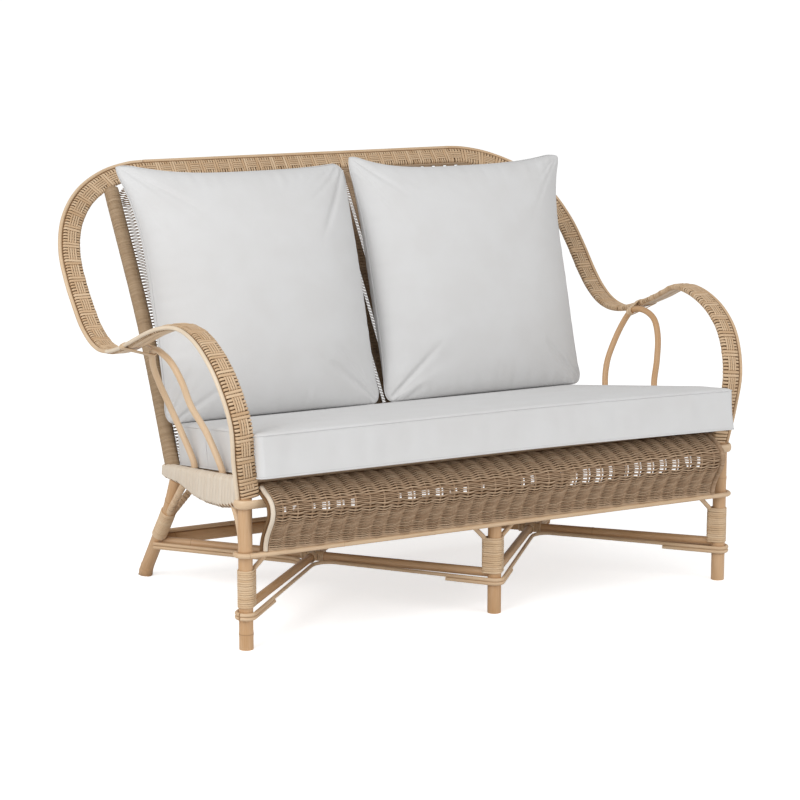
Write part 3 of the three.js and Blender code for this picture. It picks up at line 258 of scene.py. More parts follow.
pole_finish = rattan("peeled_rattan_pole", "dab893", "b98a57", joint_colour="8a6238", coat=0.12)
rod_finish = rattan("thin_peeled_rattan", "e2c8a8", "c49f76", fibre=0.0007, joint_colour="936a3e", coat=0.1)
band_finish = rattan("split_cane_of_the_arms", "e4cbab", "bd986f", fibre=0.0006, tone_share=0.6, rough=0.5)
binding_finish = rattan("glossy_binding_cane", "e3caa9", "c9a57c", fibre=0.0006, rough=0.4, coat=0.2)
reed_finish = rattan("woven_core_reed", "cfb496", "98785a", fibre=0.0006, tone_share=0.7, rough=0.66)
panel_finish = rattan("woven_back_reed", "b9a085", "84694d", fibre=0.0006, tone_share=0.7, rough=0.66)
peel_finish = rattan("pale_wrapped_peel", "e8dccb", "d2bfa8", fibre=0.0008, rough=0.5, tone_share=0.3)
post_finish = rattan("fine_wrapped_cane", "bfa688", "967a5a", fibre=0.0007, rough=0.55, tone_share=0.5)
rim_finish = rattan("pale_rim_rod", "eadac4", "d0b694", fibre=0.0008, rough=0.45, coat=0.1)
# A dark brown of painted shade: the band's core seen between its turns, the filler in the groove by the rim, and the
# sheets behind the apron's weave.
painted_shade_finish = rattan("painted_shade_brown", "8a6844", "5e4228", rough=0.7)

# %% [markdown]
# The cushions are covered in a tight plain-weave cotton. Its threads are about 0.35 mm apart, which is finer than
# a pixel, so the weave is drawn at 1.4 mm and kept faint. Wide soft darker patches are painted shade of lumpy
# filling.

# %% Cushion cloth
cloth_finish, tree, shader = new_material("white_plain_weave_cotton")
place = add(tree, "ShaderNodeTexCoord", out="Object")
warp, weft = (add(tree, "ShaderNodeTexWave", bands_direction=way, Vector=place, Scale=220.0, Distortion=0.6,
                  Detail=1.0, out="Fac") for way in "XZ")
threads = math_node(tree, "MULTIPLY", warp, weft)
lump_shade = add(tree, "ShaderNodeTexNoise", Vector=place, Scale=14.0, Detail=3.0, Roughness=0.5, out="Fac")
fuzz = add(tree, "ShaderNodeTexNoise", Vector=place, Scale=900.0, Detail=2.0, out="Fac")
share = add(tree, "ShaderNodeMapRange", lump_shade, 0.35, 0.65, 0.0, 0.5)
# Faint darker patches: painted shade of the lumpy filling under the cloth.
colour = blend_colours(tree, share, linear("d9d9d9"), linear("d3d2d1"))
colour = blend_colours(tree, math_node(tree, "MULTIPLY", fuzz, 0.16), colour, linear("c6c4c3"))
tree.links.new(colour, shader.inputs["Base Color"])
height = math_node(tree, "ADD", math_node(tree, "MULTIPLY", threads, 0.3), math_node(tree, "MULTIPLY", fuzz, 0.5))
bump = add(tree, "ShaderNodeBump", Height=height, Distance=0.0002, Strength=0.35)
tree.links.new(bump, shader.inputs["Normal"])
shader.inputs["Roughness"].default_value = 0.92
shader.inputs["Sheen Weight"].default_value = 0.15
shader.inputs["Sheen Roughness"].default_value = 0.5

# %% [markdown]
# ## Geometry Nodes
# Four small trees make everything that follows a path. A grown pole has swollen joints and is never quite even.
# Turns of cane are one ring set again and again along a path. Woven reeds are one wavy reed set row by row, every
# second one with its waves the other way. A laid strip is flat and keeps its face to a surface.

# %% Trees


def new_tree(name, sizes):
    """An empty tree with named sizes; sizes hold a label, a socket kind and a first value."""
    tree = bpy.data.node_groups.new(name, "GeometryNodeTree")
    tree.interface.new_socket("Geometry", in_out="INPUT", socket_type="NodeSocketGeometry")
    for label, kind, value in sizes:
        socket = tree.interface.new_socket(label, in_out="INPUT", socket_type="NodeSocket" + kind)
        if value is not None:
            socket.default_value = value
    tree.interface.new_socket("Geometry", in_out="OUTPUT", socket_type="NodeSocketGeometry")
    return tree, tree.nodes.new("NodeGroupInput"), tree.nodes.new("NodeGroupOutput")


def store(tree, geometry, name, kind, domain, value):
    """The geometry with a named attribute."""
    return add(tree, "GeometryNodeStoreNamedAttribute", data_type=kind, domain=domain, Geometry=geometry, Name=name,
               Value=value)


def named(tree, name, kind):
    """The value of a named attribute."""
    return add(tree, "GeometryNodeInputNamedAttribute", data_type=kind, Name=name)


def close_tree(tree, geometry, start, end):
    """The end that all trees share: smooth shading, real mesh and the material."""
    shaded = add(tree, "GeometryNodeSetShadeSmooth", Geometry=geometry, Shade_Smooth=True)
    real = add(tree, "GeometryNodeRealizeInstances", Geometry=shaded)
    finished = add(tree, "GeometryNodeSetMaterial", Geometry=real, Material=start.outputs["Material"])
    tree.links.new(finished, end.inputs[0])


def grain_of(tree, mesh):
    """The grain attribute of a swept mesh, from how far along the path and where on the profile a point is."""
    ring = add(tree, "ShaderNodeSeparateXYZ", Vector=named(tree, "ring", "FLOAT_VECTOR"))
    grain = add(tree, "ShaderNodeCombineXYZ", named(tree, "walked", "FLOAT"), ring, ring.node.outputs["Y"])
    return store(tree, mesh, "grain", "FLOAT_VECTOR", "POINT", grain)


def profile_of(tree, sides, scale):
    """A ring with its own place kept in the ring attribute, and scaled."""
    ring = add(tree, "GeometryNodeCurvePrimitiveCircle", mode="RADIUS", Resolution=sides, Radius=1.0)
    shaped = add(tree, "GeometryNodeTransform", Geometry=ring, Scale=scale)
    return store(tree, shaped, "ring", "FLOAT_VECTOR", "POINT", add(tree, "GeometryNodeInputPosition"))


# Grown pole
pole_tree, start, end = new_tree("grown_pole", [
    ("Radius", "Float", 0.01), ("Step", "Float", 0.004), ("Sides", "Int", 18), ("Joint Pitch", "Float", 0.3),
    ("Joint Rise", "Float", 0.05), ("Joint Width", "Float", 0.006), ("Unevenness", "Float", 0.03),
    ("Seed", "Float", 0.0), ("Material", "Material", None)])
tree, size = pole_tree, start.outputs
line = add(tree, "GeometryNodeMeshToCurve", Mesh=size["Geometry"])
line = add(tree, "GeometryNodeResampleCurve", mode="LENGTH", Curve=line, Length=size["Step"])
walked = add(tree, "GeometryNodeSplineParameter", out="Length")
turns = math_node(tree, "ADD", math_node(tree, "DIVIDE", walked, size["Joint Pitch"]), size["Seed"])
away = math_node(tree, "ABSOLUTE", math_node(tree, "SUBTRACT", math_node(tree, "FRACT", turns), 0.5))
away = math_node(tree, "MULTIPLY", away, size["Joint Pitch"])
swell = add(tree, "ShaderNodeMapRange", away, 0.0, size["Joint Width"], 1.0, 0.0, interpolation_type="SMOOTHSTEP")
line = store(tree, line, "walked", "FLOAT", "POINT", walked)
line = store(tree, line, "joint", "FLOAT", "POINT", swell)
line = store(tree, line, "tone", "FLOAT", "POINT", math_node(tree, "FRACT", size["Seed"]))
place = math_node(tree, "ADD", math_node(tree, "MULTIPLY", walked, 16.0), size["Seed"])
uneven = add(tree, "ShaderNodeTexNoise", noise_dimensions="1D", W=place, Scale=1.0, Detail=2.0, out="Fac")
uneven = math_node(tree, "MULTIPLY", math_node(tree, "SUBTRACT", uneven, 0.5), size["Unevenness"])
thick = math_node(tree, "ADD", math_node(tree, "ADD", math_node(tree, "MULTIPLY", swell, size["Joint Rise"]),
                                         uneven), 1.0)
ring = profile_of(tree, size["Sides"], add(tree, "ShaderNodeCombineXYZ", size["Radius"], size["Radius"], 1.0))
mesh = add(tree, "GeometryNodeCurveToMesh", Curve=line, Profile_Curve=ring, Scale=thick, Fill_Caps=True)
close_tree(tree, grain_of(tree, mesh), start, end)

# Laid strip: Width runs across, Thickness along the face attribute
strip_tree, start, end = new_tree("laid_strip", [
    ("Width", "Float", 0.004), ("Thickness", "Float", 0.001), ("Sides", "Int", 8), ("Material", "Material", None)])
tree, size = strip_tree, start.outputs
line = add(tree, "GeometryNodeMeshToCurve", Mesh=size["Geometry"])
line = store(tree, line, "walked", "FLOAT", "POINT", add(tree, "GeometryNodeSplineParameter", out="Length"))
line = add(tree, "GeometryNodeSetCurveNormal", mode="FREE", Curve=line, Normal=named(tree, "face", "FLOAT_VECTOR"))
halves = [math_node(tree, "MULTIPLY", size[label], 0.5) for label in ("Thickness", "Width")]
ring = profile_of(tree, size["Sides"], add(tree, "ShaderNodeCombineXYZ", *halves, 1.0))
mesh = add(tree, "GeometryNodeCurveToMesh", Curve=line, Profile_Curve=ring, Scale=1.0, Fill_Caps=True)
close_tree(tree, grain_of(tree, mesh), start, end)

# Turns of cane: the turn object is set on each point of the path, its Y along face and its Z along ahead
turn_tree, start, end = new_tree("turns_of_cane", [
    ("Turn", "Object", None), ("Sway", "Float", 0.02), ("Lean", "Float", 0.02), ("Seed", "Int", 1),
    ("Material", "Material", None)])
tree, size = turn_tree, start.outputs
turn = add(tree, "GeometryNodeObjectInfo", Object=size["Turn"], out="Geometry")
facing = add(tree, "FunctionNodeAxesToRotation", named(tree, "ahead", "FLOAT_VECTOR"),
             named(tree, "face", "FLOAT_VECTOR"), primary_axis="Z", secondary_axis="Y")
limits = [add(tree, "ShaderNodeVectorMath", (sign, sign, 0), operation="SCALE", Scale=size["Lean"])
          for sign in (-1, 1)]
lean = add(tree, "FunctionNodeRandomValue", *limits, data_type="FLOAT_VECTOR", Seed=size["Seed"])
leaning = add(tree, "FunctionNodeRotateRotation", facing, lean, rotation_space="LOCAL")
grow = add(tree, "FunctionNodeRandomValue", data_type="FLOAT", i2=math_node(tree, "MULTIPLY", size["Sway"], -1.0),
           i3=size["Sway"], Seed=size["Seed"], out=1)
grown = math_node(tree, "ADD", grow, 1.0)
tall = math_node(tree, "MULTIPLY", grown, named(tree, "tall", "FLOAT"))
scale = add(tree, "ShaderNodeCombineXYZ", grown, tall, named(tree, "broad", "FLOAT"))
rings = add(tree, "GeometryNodeInstanceOnPoints", Points=size["Geometry"], Instance=turn, Rotation=leaning,
            Scale=scale)
tone = add(tree, "FunctionNodeRandomValue", data_type="FLOAT", Seed=math_node(tree, "ADD", size["Seed"], 5.0), out=1)
rings = store(tree, rings, "tone", "FLOAT", "INSTANCE", tone)
close_tree(tree, rings, start, end)

# Woven reeds: each point of the path is a row, its Y along face; wide stretches the row across
reed_tree, start, end = new_tree("woven_reeds", [
    ("Half Width", "Float", 0.5), ("Stake Pitch", "Float", 0.033), ("Wave", "Float", 0.002), ("Rib", "Float", 0.0),
    ("Reed Radius", "Float", 0.0013), ("Pieces Per Bay", "Int", 6), ("Sides", "Int", 6), ("Sway", "Float", 0.0004),
    ("Seed", "Int", 1), ("Material", "Material", None)])
tree, size = reed_tree, start.outputs
bays = math_node(tree, "DIVIDE", math_node(tree, "MULTIPLY", size["Half Width"], 2.0), size["Stake Pitch"])
count = math_node(tree, "MULTIPLY", bays, size["Pieces Per Bay"])
low = add(tree, "ShaderNodeCombineXYZ", math_node(tree, "MULTIPLY", size["Half Width"], -1.0), 0.0, 0.0)
high = add(tree, "ShaderNodeCombineXYZ", size["Half Width"], 0.0, 0.0)
reed_line = add(tree, "GeometryNodeCurvePrimitiveLine", Start=low, End=high)
reed_line = add(tree, "GeometryNodeResampleCurve", mode="COUNT", Curve=reed_line, Count=count)
reed_line = store(tree, reed_line, "walked", "FLOAT", "POINT",
                  add(tree, "GeometryNodeSplineParameter", out="Length"))
spot = add(tree, "ShaderNodeSeparateXYZ", Vector=add(tree, "GeometryNodeInputPosition"))
phase = math_node(tree, "MULTIPLY", math_node(tree, "DIVIDE", spot, size["Stake Pitch"]), math.pi)
swing = math_node(tree, "COSINE", phase)
wave = math_node(tree, "MULTIPLY", swing, size["Wave"])
rib = math_node(tree, "MULTIPLY", math_node(tree, "MULTIPLY", swing, swing), size["Rib"])
scale = add(tree, "ShaderNodeCombineXYZ", size["Reed Radius"], size["Reed Radius"], 1.0)
ring = profile_of(tree, size["Sides"], scale)
reeds = add(tree, "GeometryNodeGeometryToInstance")
for sign in (1.0, -1.0):
    way = math_node(tree, "ADD", math_node(tree, "MULTIPLY", wave, sign), rib)
    shift = add(tree, "ShaderNodeCombineXYZ", 0.0, way, 0.0)
    waved = add(tree, "GeometryNodeSetPosition", Geometry=reed_line, Offset=shift)
    reed = add(tree, "GeometryNodeCurveToMesh", Curve=waved, Profile_Curve=ring, Scale=1.0, Fill_Caps=True)
    tree.links.new(grain_of(tree, reed), reeds.node.inputs[0])
facing = add(tree, "FunctionNodeAxesToRotation", (1, 0, 0), named(tree, "face", "FLOAT_VECTOR"), primary_axis="X",
             secondary_axis="Y")
scale = add(tree, "ShaderNodeCombineXYZ", named(tree, "wide", "FLOAT"), 1.0, 1.0)
parity = math_node(tree, "FLOORED_MODULO", add(tree, "GeometryNodeInputIndex"), 2.0)
rows = add(tree, "GeometryNodeInstanceOnPoints", Points=size["Geometry"], Instance=reeds, Pick_Instance=True,
           Instance_Index=parity, Rotation=facing, Scale=scale)
tone = add(tree, "FunctionNodeRandomValue", data_type="FLOAT", Seed=size["Seed"], out=1)
rows = store(tree, rows, "tone", "FLOAT", "INSTANCE", tone)
real = add(tree, "GeometryNodeRealizeInstances", Geometry=rows)
drift = add(tree, "ShaderNodeTexNoise", Vector=add(tree, "GeometryNodeInputPosition"), Scale=45.0, Detail=1.0,
            out="Color")
drift = add(tree, "ShaderNodeVectorMath", drift, (0.5, 0.5, 0.5), operation="SUBTRACT")
drift = add(tree, "ShaderNodeVectorMath", drift, operation="SCALE", Scale=size["Sway"])
close_tree(tree, add(tree, "GeometryNodeSetPosition", Geometry=real, Offset=drift), start, end)

# %% Making pieces from paths and trees
triangles = {}


def lines_mesh(name, paths, **attributes):
    """Open lines in the frame, given in millimetres, with a value or direction at each point."""
    points = np.vstack([to_frame(path) for path in paths])
    edges, first = [], 0
    for path in paths:
        edges += [(first + i, first + i + 1) for i in range(len(path) - 1)]
        first += len(path)
    mesh = bpy.data.meshes.new(name)
    mesh.from_pydata([tuple(p) for p in points], edges, [])
    for label, values in attributes.items():
        values = np.asarray(values, float)
        vector = values.ndim == 2
        layer = mesh.attributes.new(label, "FLOAT_VECTOR" if vector else "FLOAT", "POINT")
        layer.data.foreach_set("vector" if vector else "value", values.astype(np.float32).ravel())
    return mesh


def dress(piece, body, slot, *nodes):
    """Puts a finished piece on its body and hides the CAD nodes it stands for; the slot is not used."""
    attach(piece, body)
    if nodes:
        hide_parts(*nodes)
    triangles[piece.name] = sum(len(face.vertices) - 2 for face in piece.data.polygons)
    return piece


def grow_piece(tree, name, base, slot, nodes, **sizes):
    """Runs a tree on a base mesh and keeps the result as a plain mesh."""
    carrier = bpy.data.objects.new(name + "_path", base)
    scene.collection.objects.link(carrier)
    modifier = carrier.modifiers.new(tree.name, "NODES")
    modifier.node_group = tree
    for item in tree.interface.items_tree:
        if item.in_out == "INPUT" and item.name in sizes:
            modifier[item.identifier] = sizes[item.name]
    evaluated = carrier.evaluated_get(bpy.context.evaluated_depsgraph_get())
    mesh = bpy.data.meshes.new_from_object(evaluated)
    bpy.data.objects.remove(carrier)
    for label in ("ring", "walked"):
        if label in mesh.attributes:
            mesh.attributes.remove(mesh.attributes[label])
    if not mesh.materials:
        mesh.materials.append(sizes["Material"])
    piece = bpy.data.objects.new(name, mesh)
    scene.collection.objects.link(piece)
    return dress(piece, "frame", slot, *nodes)


def strip(name, mesh, width, thick, sides, slot, finish, nodes=()):
    """Flat strips along the lines of a mesh that holds their faces; sizes in millimetres."""
    return grow_piece(strip_tree, name, mesh, slot, nodes, Width=width * MM, Thickness=thick * MM, Sides=sides,
                      Material=finish)


def pole(name, paths, radius, slot="pole", finish=pole_finish, nodes=(), seed=0.0, sides=20, pitch=300, rise=0.05,
         step=4):
    """Poles or rods along paths in millimetres."""
    return grow_piece(pole_tree, name, lines_mesh(name, paths), slot, nodes, **{
        "Radius": radius * MM, "Sides": sides, "Seed": seed, "Material": finish, "Joint Pitch": pitch * MM,
        "Joint Rise": rise, "Joint Width": max(radius * 0.45, 3) * MM, "Step": step * MM})


# %% [markdown]
# ## Legs, rails and poles
# The frame is made of peeled poles, softened by steam and bent. Each one is grown along the same line as its CAD
# solid: three upright front legs, two raked rear legs, the crossed poles of the base and the poles under the seat.

# %% Legs
for name, x, seed in (("left", -LEG_SPREAD, 0.31), ("middle", 0, 0.62), ("right", LEG_SPREAD, 0.14)):
    pole("leg_front_" + name, [[(x, 0, 0.0), (x, 0, LEG_TOP - GAP)]], LEG, nodes=["front_leg_" + name], seed=seed,
         sides=28, pitch=170)

REAR_LEG_END = 262  # inside the side rail
rear_leg_line = rear_leg_path[(rear_leg_path[:, 2] >= 0) & (rear_leg_path[:, 2] < REAR_LEG_END)]
for name, path, seed in (("left", rear_leg_line, 0.37), ("right", mirrored(rear_leg_line), 0.83)):
    leg = pole("leg_rear_" + name, [path], LEG, nodes=["rear_leg_" + name], seed=seed, sides=28, pitch=230)
    floor_points = [v for v in leg.data.vertices if v.co.z < 0.012]
    for vertex in floor_points:  # sawn level at the floor
        vertex.co.z = 0.0

# %% Poles of the base and under the seat
spot_x, spot_y = stretcher_spot[:2]


def cross_point(x, y):
    """A place on the crossed poles, which rise a little to the back."""
    return np.array([x, y, CROSS_HEIGHT + (STRETCHER_HEIGHT - CROSS_HEIGHT) * y / spot_y])


front_left, front_middle = cross_point(-LEG_SPREAD, 0), cross_point(0, 0)
back_left, back_middle = cross_point(spot_x, spot_y), cross_point(0, spot_y)
junction_share = LEG_SPREAD / (LEG_SPREAD - spot_x)
junction_left = front_middle + (back_left - front_middle) * junction_share
front_right, back_right, junction_right = mirrored(front_left), mirrored(back_left), mirrored(junction_left)


def shortened(first, last, cut_first, cut_last):
    """A straight line that stops short of its ends by the lengths given."""
    along = unit(last - first)
    return [first + along * cut_first, last - along * cut_last]


inside = LEG - 3  # a pole's end sits hidden in the pole that it meets
pole("cross_pole_through_left", [shortened(back_left, front_middle, inside, inside)], CROSS, seed=0.2,
     nodes=["cross_pole_left"], pitch=240)
pole("cross_pole_through_right", [shortened(back_middle, front_right, inside, inside)], CROSS, seed=0.5,
     nodes=["cross_pole_right"], pitch=260)
for name, first, last, node in (
        ("left_front", front_left, junction_left, "cross_half_left_front"),
        ("left_back", junction_left, back_middle, "cross_half_left_back"),
        ("right_front", front_middle, junction_right, "cross_half_right_front"),
        ("right_back", junction_right, back_right, "cross_half_right_back")):
    pole("cross_pole_" + name, [shortened(first, last, 6, 6)], CROSS - 0.6, seed=len(name) * 0.37, nodes=[node],
         pitch=250)
pole("stretcher_rear", [[(spot_x + 8, spot_y, STRETCHER_HEIGHT), (-spot_x - 8, spot_y, STRETCHER_HEIGHT)]],
     STRETCHER, nodes=["back_stretcher"], seed=0.4, pitch=310)
rail_end = REAR_SPREAD - SKIRT_THICK / 2 - GAP
pole("rail_rear", [[(x, REAR_RAIL_BACK, REAR_RAIL_HEIGHT) for x in (-rail_end, rail_end)]], REAR_RAIL,
     nodes=["rear_rail"], seed=0.7)
bearer_back = deck_under(REAR_RAIL_BACK) - (BEARER + GAP) / math.cos(SLOPE)
for name, x in (("left", -BEARER_SPREAD), ("right", BEARER_SPREAD)):
    pole("bearer_pole_" + name, [[(x, -LEG + 4, RAIL_HEIGHT), (x, REAR_RAIL_BACK, bearer_back)]], BEARER,
         nodes=["bearer_" + name], seed=abs(x + 40) * 0.013)
bearer_rise = (bearer_back - RAIL_HEIGHT) * (DECK_POLE_BACK + LEG) / (REAR_RAIL_BACK + LEG)
bearer_top = RAIL_HEIGHT + bearer_rise + BEARER + GAP
pole_under = deck_under(DECK_POLE_BACK) - GAP
deck_pole_end = skirt_centre(DECK_POLE_BACK) - SKIRT_THICK
deck_pole_height = (bearer_top + pole_under) / 2
pole("pole_under_deck", [[(x, DECK_POLE_BACK, deck_pole_height) for x in (-deck_pole_end, deck_pole_end)]],
     (pole_under - bearer_top) / 2 * math.cos(SLOPE), nodes=["deck_front_pole"], seed=0.9)
print("base and seat: poles made")

# %% [markdown]
# The front rail is a split pole, flat against the legs and bent round the outer ones. The rail at the apron's
# foot does the same with a thin round rod. Arches stand under the armrests, and small rods brace the corners.

# %% Rails round the legs, arches and braces


def round_legs(setback, height, wrap):
    """A path along the fronts of the legs that bends round both outer ones."""
    angles = np.radians(np.linspace(0, wrap, 15))
    left = np.stack([-(LEG_SPREAD + setback * np.sin(angles)), -setback * np.cos(angles),
                     np.full(15, float(height))], axis=1)[::-1]
    middle = np.stack([np.linspace(-LEG_SPREAD, LEG_SPREAD, 161), np.full(161, -setback),
                       np.full(161, float(height))], axis=1)[1:-1]
    return np.vstack([left, middle, mirrored(left)[::-1]])


def level_sides(path):
    """The level direction square to a path, at each point."""
    ahead = np.gradient(path, axis=0)
    return unit(np.stack([-ahead[:, 1], ahead[:, 0], np.zeros(len(path))], axis=1))


rail_path = round_legs(LEG + GAP + FRONT_RAIL_DEEP / 2, RAIL_HEIGHT, 100)
strip("rail_front", lines_mesh("rail_front", [rail_path], face=level_sides(rail_path)), FRONT_RAIL_TALL,
      FRONT_RAIL_DEEP, 20, "pole", rod_finish, ["front_rail"])
pole("rail_apron_foot", [round_legs(LEG + GAP + BOTTOM_RAIL, APRON_RAIL_HEIGHT, 122)], BOTTOM_RAIL,
     "thin_rod", rod_finish, ["apron_bottom_rail"], seed=0.3, sides=16, pitch=210, step=3)

ARCH_BASE, ARCH_FLARE, ARCH_BACK, ARCH_TOP = 542, 63, 428, 557
arch_foot = deck_top(0.418 * ARCH_BACK)
# shares of the flare, of the way back and of the way up from the side rail
arch_rows = [(-(ARCH_BASE + ARCH_FLARE * out), ARCH_BACK * back, arch_foot + (ARCH_TOP - arch_foot) * up)
             for out, back, up in (
    (0.03, 0.418, 0.002), (0.03, 0.418, 0.017), (0.22, 0.535, 0.328), (0.6, 0.595, 0.57), (0.8, 0.632, 0.774),
    (0.96, 0.7, 0.928), (1.03, 0.79, 0.99), (1, 0.87, 1), (0.95, 0.93, 0.957), (0.82, 0.975, 0.834),
    (0.54, 0.995, 0.651), (0.22, 0.99, 0.451), (-0.05, 0.945, 0.226), (-0.24, 0.85, -0.043),
    (-0.25, 0.84, -0.1))]
arch_path = smooth_path(arch_rows, 200)
for name, path, seed in (("left", arch_path, 0.15), ("right", mirrored(arch_path), 0.55)):
    pole("arch_" + name, [path], ARCH, "thin_rod", rod_finish if name == "left" else pole_finish,
         ["arm_arch_" + name], seed=seed, pitch=260, step=3)

BRACE_REACH, BRACE_TURN = LEG + GAP + BRACE, math.radians(20)  # the braces lie a little behind the legs


def front_brace(x, side):
    """From the winding of a front leg up and inwards to the front rail."""
    foot = np.array([x + side * BRACE_REACH * math.cos(BRACE_TURN), BRACE_REACH * math.sin(BRACE_TURN), 100])
    end = np.array([x + side * 120, -(LEG + BRACE / 2), RAIL_HEIGHT - FRONT_RAIL_TALL / 4])
    shares = np.array([(0, 0, 0), (0, 0, 0.29), (0.16, 0.05, 0.39), (0.42, 0.1, 0.53), (1, 1, 1)])
    return smooth_path(foot + (end - foot) * shares, 50)


for name, x, side in (("leg_left", -LEG_SPREAD, 1), ("leg_right", LEG_SPREAD, -1), ("middle_left", 0, -1),
                      ("middle_right", 0, 1)):
    first, second = name.split("_")
    pole("corner_brace_" + name, [front_brace(x, side)], BRACE, "thin_rod", rod_finish,
         [first + "_brace_" + second], seed=0.21 + side * 0.2, sides=14, pitch=140, step=3)
side_reach = LEG + GAP + SIDE_BRACE
side_rows = [(-(skirt_centre(y) if y > side_reach else LEG_SPREAD), y, z) for y, z in (
    (side_reach, 188), (side_reach, 216), (side_reach + 18, 254), (side_reach + 60, 296))]
side_path = smooth_path(side_rows, 40)
for name, path in (("left", side_path), ("right", mirrored(side_path))):
    pole("leg_to_side_brace_" + name, [path], SIDE_BRACE, "thin_rod", rod_finish, ["side_brace_" + name],
         seed=0.4, sides=16, pitch=110, step=3)

# %% [markdown]
# ## Turns of cane
# Bindings, windings and wrapped poles are all the same craft: a ribbon of cane pulled round and round. One turn
# is modelled round the outline that it binds, and the tree sets it along the path at the ribbon's width.

# %% One turn, and turns along a path
flat_cane = [(0.5, -0.28), (0.5, 0.28), (0.1, 0.5), (-0.5, 0.42), (-0.5, -0.42), (0.1, -0.5)]
wide_peel = [(0.5, -0.47), (0.5, 0.47), (0.1, 0.5), (-0.5, 0.5), (-0.5, -0.5), (0.1, -0.5)]


def turn_object(name, outline, width, thickness, section=flat_cane):
    """One closed turn round an outline in millimetres; its section is outward and along the axis."""
    outline = np.asarray(outline, float)
    ahead = unit(np.roll(outline, -1, axis=0) - np.roll(outline, 1, axis=0))
    outward = np.stack([ahead[:, 1], -ahead[:, 0]], axis=1)
    around = walk(outline)
    points, grain, count = [], [], len(section)
    for spot, out, walked in zip(outline, outward, around):
        for reach, along in section:
            x, y = spot + out * reach * thickness
            points.append((x * MM, y * MM, along * width * MM))
            grain.append((walked * MM, along * width * MM, reach * thickness * MM))
    size = len(outline)
    faces = [(i * count + k, ((i + 1) % size) * count + k, ((i + 1) % size) * count + (k + 1) % count,
              i * count + (k + 1) % count) for i in range(size) for k in range(count)]
    mesh = bpy.data.meshes.new(name)
    mesh.from_pydata(points, [], faces)
    layer = mesh.attributes.new("grain", "FLOAT_VECTOR", "POINT")
    layer.data.foreach_set("vector", np.array(grain, np.float32).ravel())
    made = bpy.data.objects.new(name, mesh)
    scene.collection.objects.link(made)
    return made


def circle(radius, sides=24):
    """A round outline."""
    angles = np.linspace(0, 2 * math.pi, sides, endpoint=False)
    return np.stack([radius * np.cos(angles), radius * np.sin(angles)], axis=1)


def rounded(low_x, high_x, half_y, radius, corner=4, flats=5):
    """A rounded rectangle, counter-clockwise, with points along its long sides."""
    points = []
    left, right, upper = low_x + radius, high_x - radius, half_y - radius
    for quarter, (centre_x, centre_y) in enumerate(((right, upper), (left, upper), (left, -upper), (right, -upper))):
        for step in range(corner + 1):
            angle = (quarter + step / corner) * math.pi / 2
            points.append((centre_x + radius * math.cos(angle), centre_y + radius * math.sin(angle)))
        if quarter in (0, 2):
            end = left if quarter == 0 else right
            points += [(points[-1][0] + (end - points[-1][0]) * i / flats, points[-1][1]) for i in range(1, flats)]
    return points


def round_bundle(rods, wall, sides=40):
    """The outline round several rods: the hull of their circles, grown by the wall."""
    angles = np.linspace(0, 2 * math.pi, sides, endpoint=False)
    directions = np.stack([np.cos(angles), np.sin(angles)], axis=1)
    centres, radii = np.array([rod[:2] for rod in rods], float), np.array([rod[2] for rod in rods], float)
    furthest = np.argmax(directions @ centres.T + radii, axis=1)
    return centres[furthest] + directions * (radii[furthest] + wall)[:, None]


def densely(points, step=4.0):
    """The same line with points at even steps, and how far along each one is."""
    points = np.asarray(points, float)
    reach = walk(points)
    wanted = np.linspace(0, reach[-1], max(round(reach[-1] / step), 2) + 1)
    return read_off(wanted, reach, points), wanted


def wind(name, path, ahead, face, turn, pitch, slot, finish, nodes=(), tall=1.0, broad=1.0, seed=1, sway=0.006,
         lean=0.02):
    """Turns of cane along a path, or on its own points where pitch is None; turn is (outline, width, thickness)."""
    path = np.asarray(path, float)
    ahead, face = (np.broadcast_to(np.asarray(rows, float), path.shape) for rows in (ahead, face))
    tall, broad = (np.ones(len(path)) * values for values in (tall, broad))
    if pitch:
        place = walk(path)
        path, wanted = densely(path, pitch)
        ahead, face = (read_off(wanted, place, rows) for rows in (ahead, face))
        tall, broad = (np.interp(wanted, place, values) for values in (tall, broad))
    shape = turn_object(name + "_turn", *turn)
    base = lines_mesh(name, [path], ahead=ahead, face=face, tall=tall, broad=broad)
    piece = grow_piece(turn_tree, name, base, slot, nodes, Turn=shape, Seed=seed, Sway=sway, Lean=lean,
                       Material=finish)
    bpy.data.objects.remove(shape)
    return piece


# %% [markdown]
# ## The woven band
# One band starts at the left front leg, makes the armrest, dips, swells into the ear, crosses the back as the top
# rail and comes down again on the right. It is a flat core bound crosswise with split cane. Four lengthwise strips
# run over four turns and dive under two, which gives the chequered middle. A bare rod edges it. The band turns as
# it goes, so its line carries two directions: across it, and out of its upper face.

# %% The band's line
# shares of the way outwards, back and up, and of a quarter turn of the band
arm_rows = np.array([
    (-0.07, -0.003, 0, 0.08), (0.1, -0.012, 0.13, 0.02), (0.22, -0.018, 0.271, 0), (0.38, 0.022, 0.41, 0),
    (0.45, 0.079, 0.49, 0), (0.48, 0.146, 0.538, 0), (0.55, 0.216, 0.556, 0), (0.71, 0.272, 0.545, 0),
    (0.85, 0.32, 0.52, 0), (0.92, 0.37, 0.489, 0), (0.94, 0.425, 0.457, 0), (0.96, 0.485, 0.425, 0),
    (0.98, 0.543, 0.404, 0), (0.99, 0.597, 0.402, 0), (0.99, 0.648, 0.422, 0), (1, 0.697, 0.466, 0),
    (1, 0.741, 0.53, 0.02), (1, 0.793, 0.623, 0.06), (0.9, 0.846, 0.725, 0.14)])
corner_rows = np.array([(0.131, 0.897, 0.828, 0.28), (0.327, 0.944, 0.915, 0.5), (0.6, 0.981, 0.972, 0.72),
                        (0.85, 0.996, 0.996, 0.92), (1, 1, 1, 1)])
EAR, TOP_BACK, TOP_HEIGHT, TOP_HALF, TOP_TILT = 651, 898, 884, 400, math.radians(49)
top_side = np.array([0, math.cos(TOP_TILT), math.sin(TOP_TILT)])


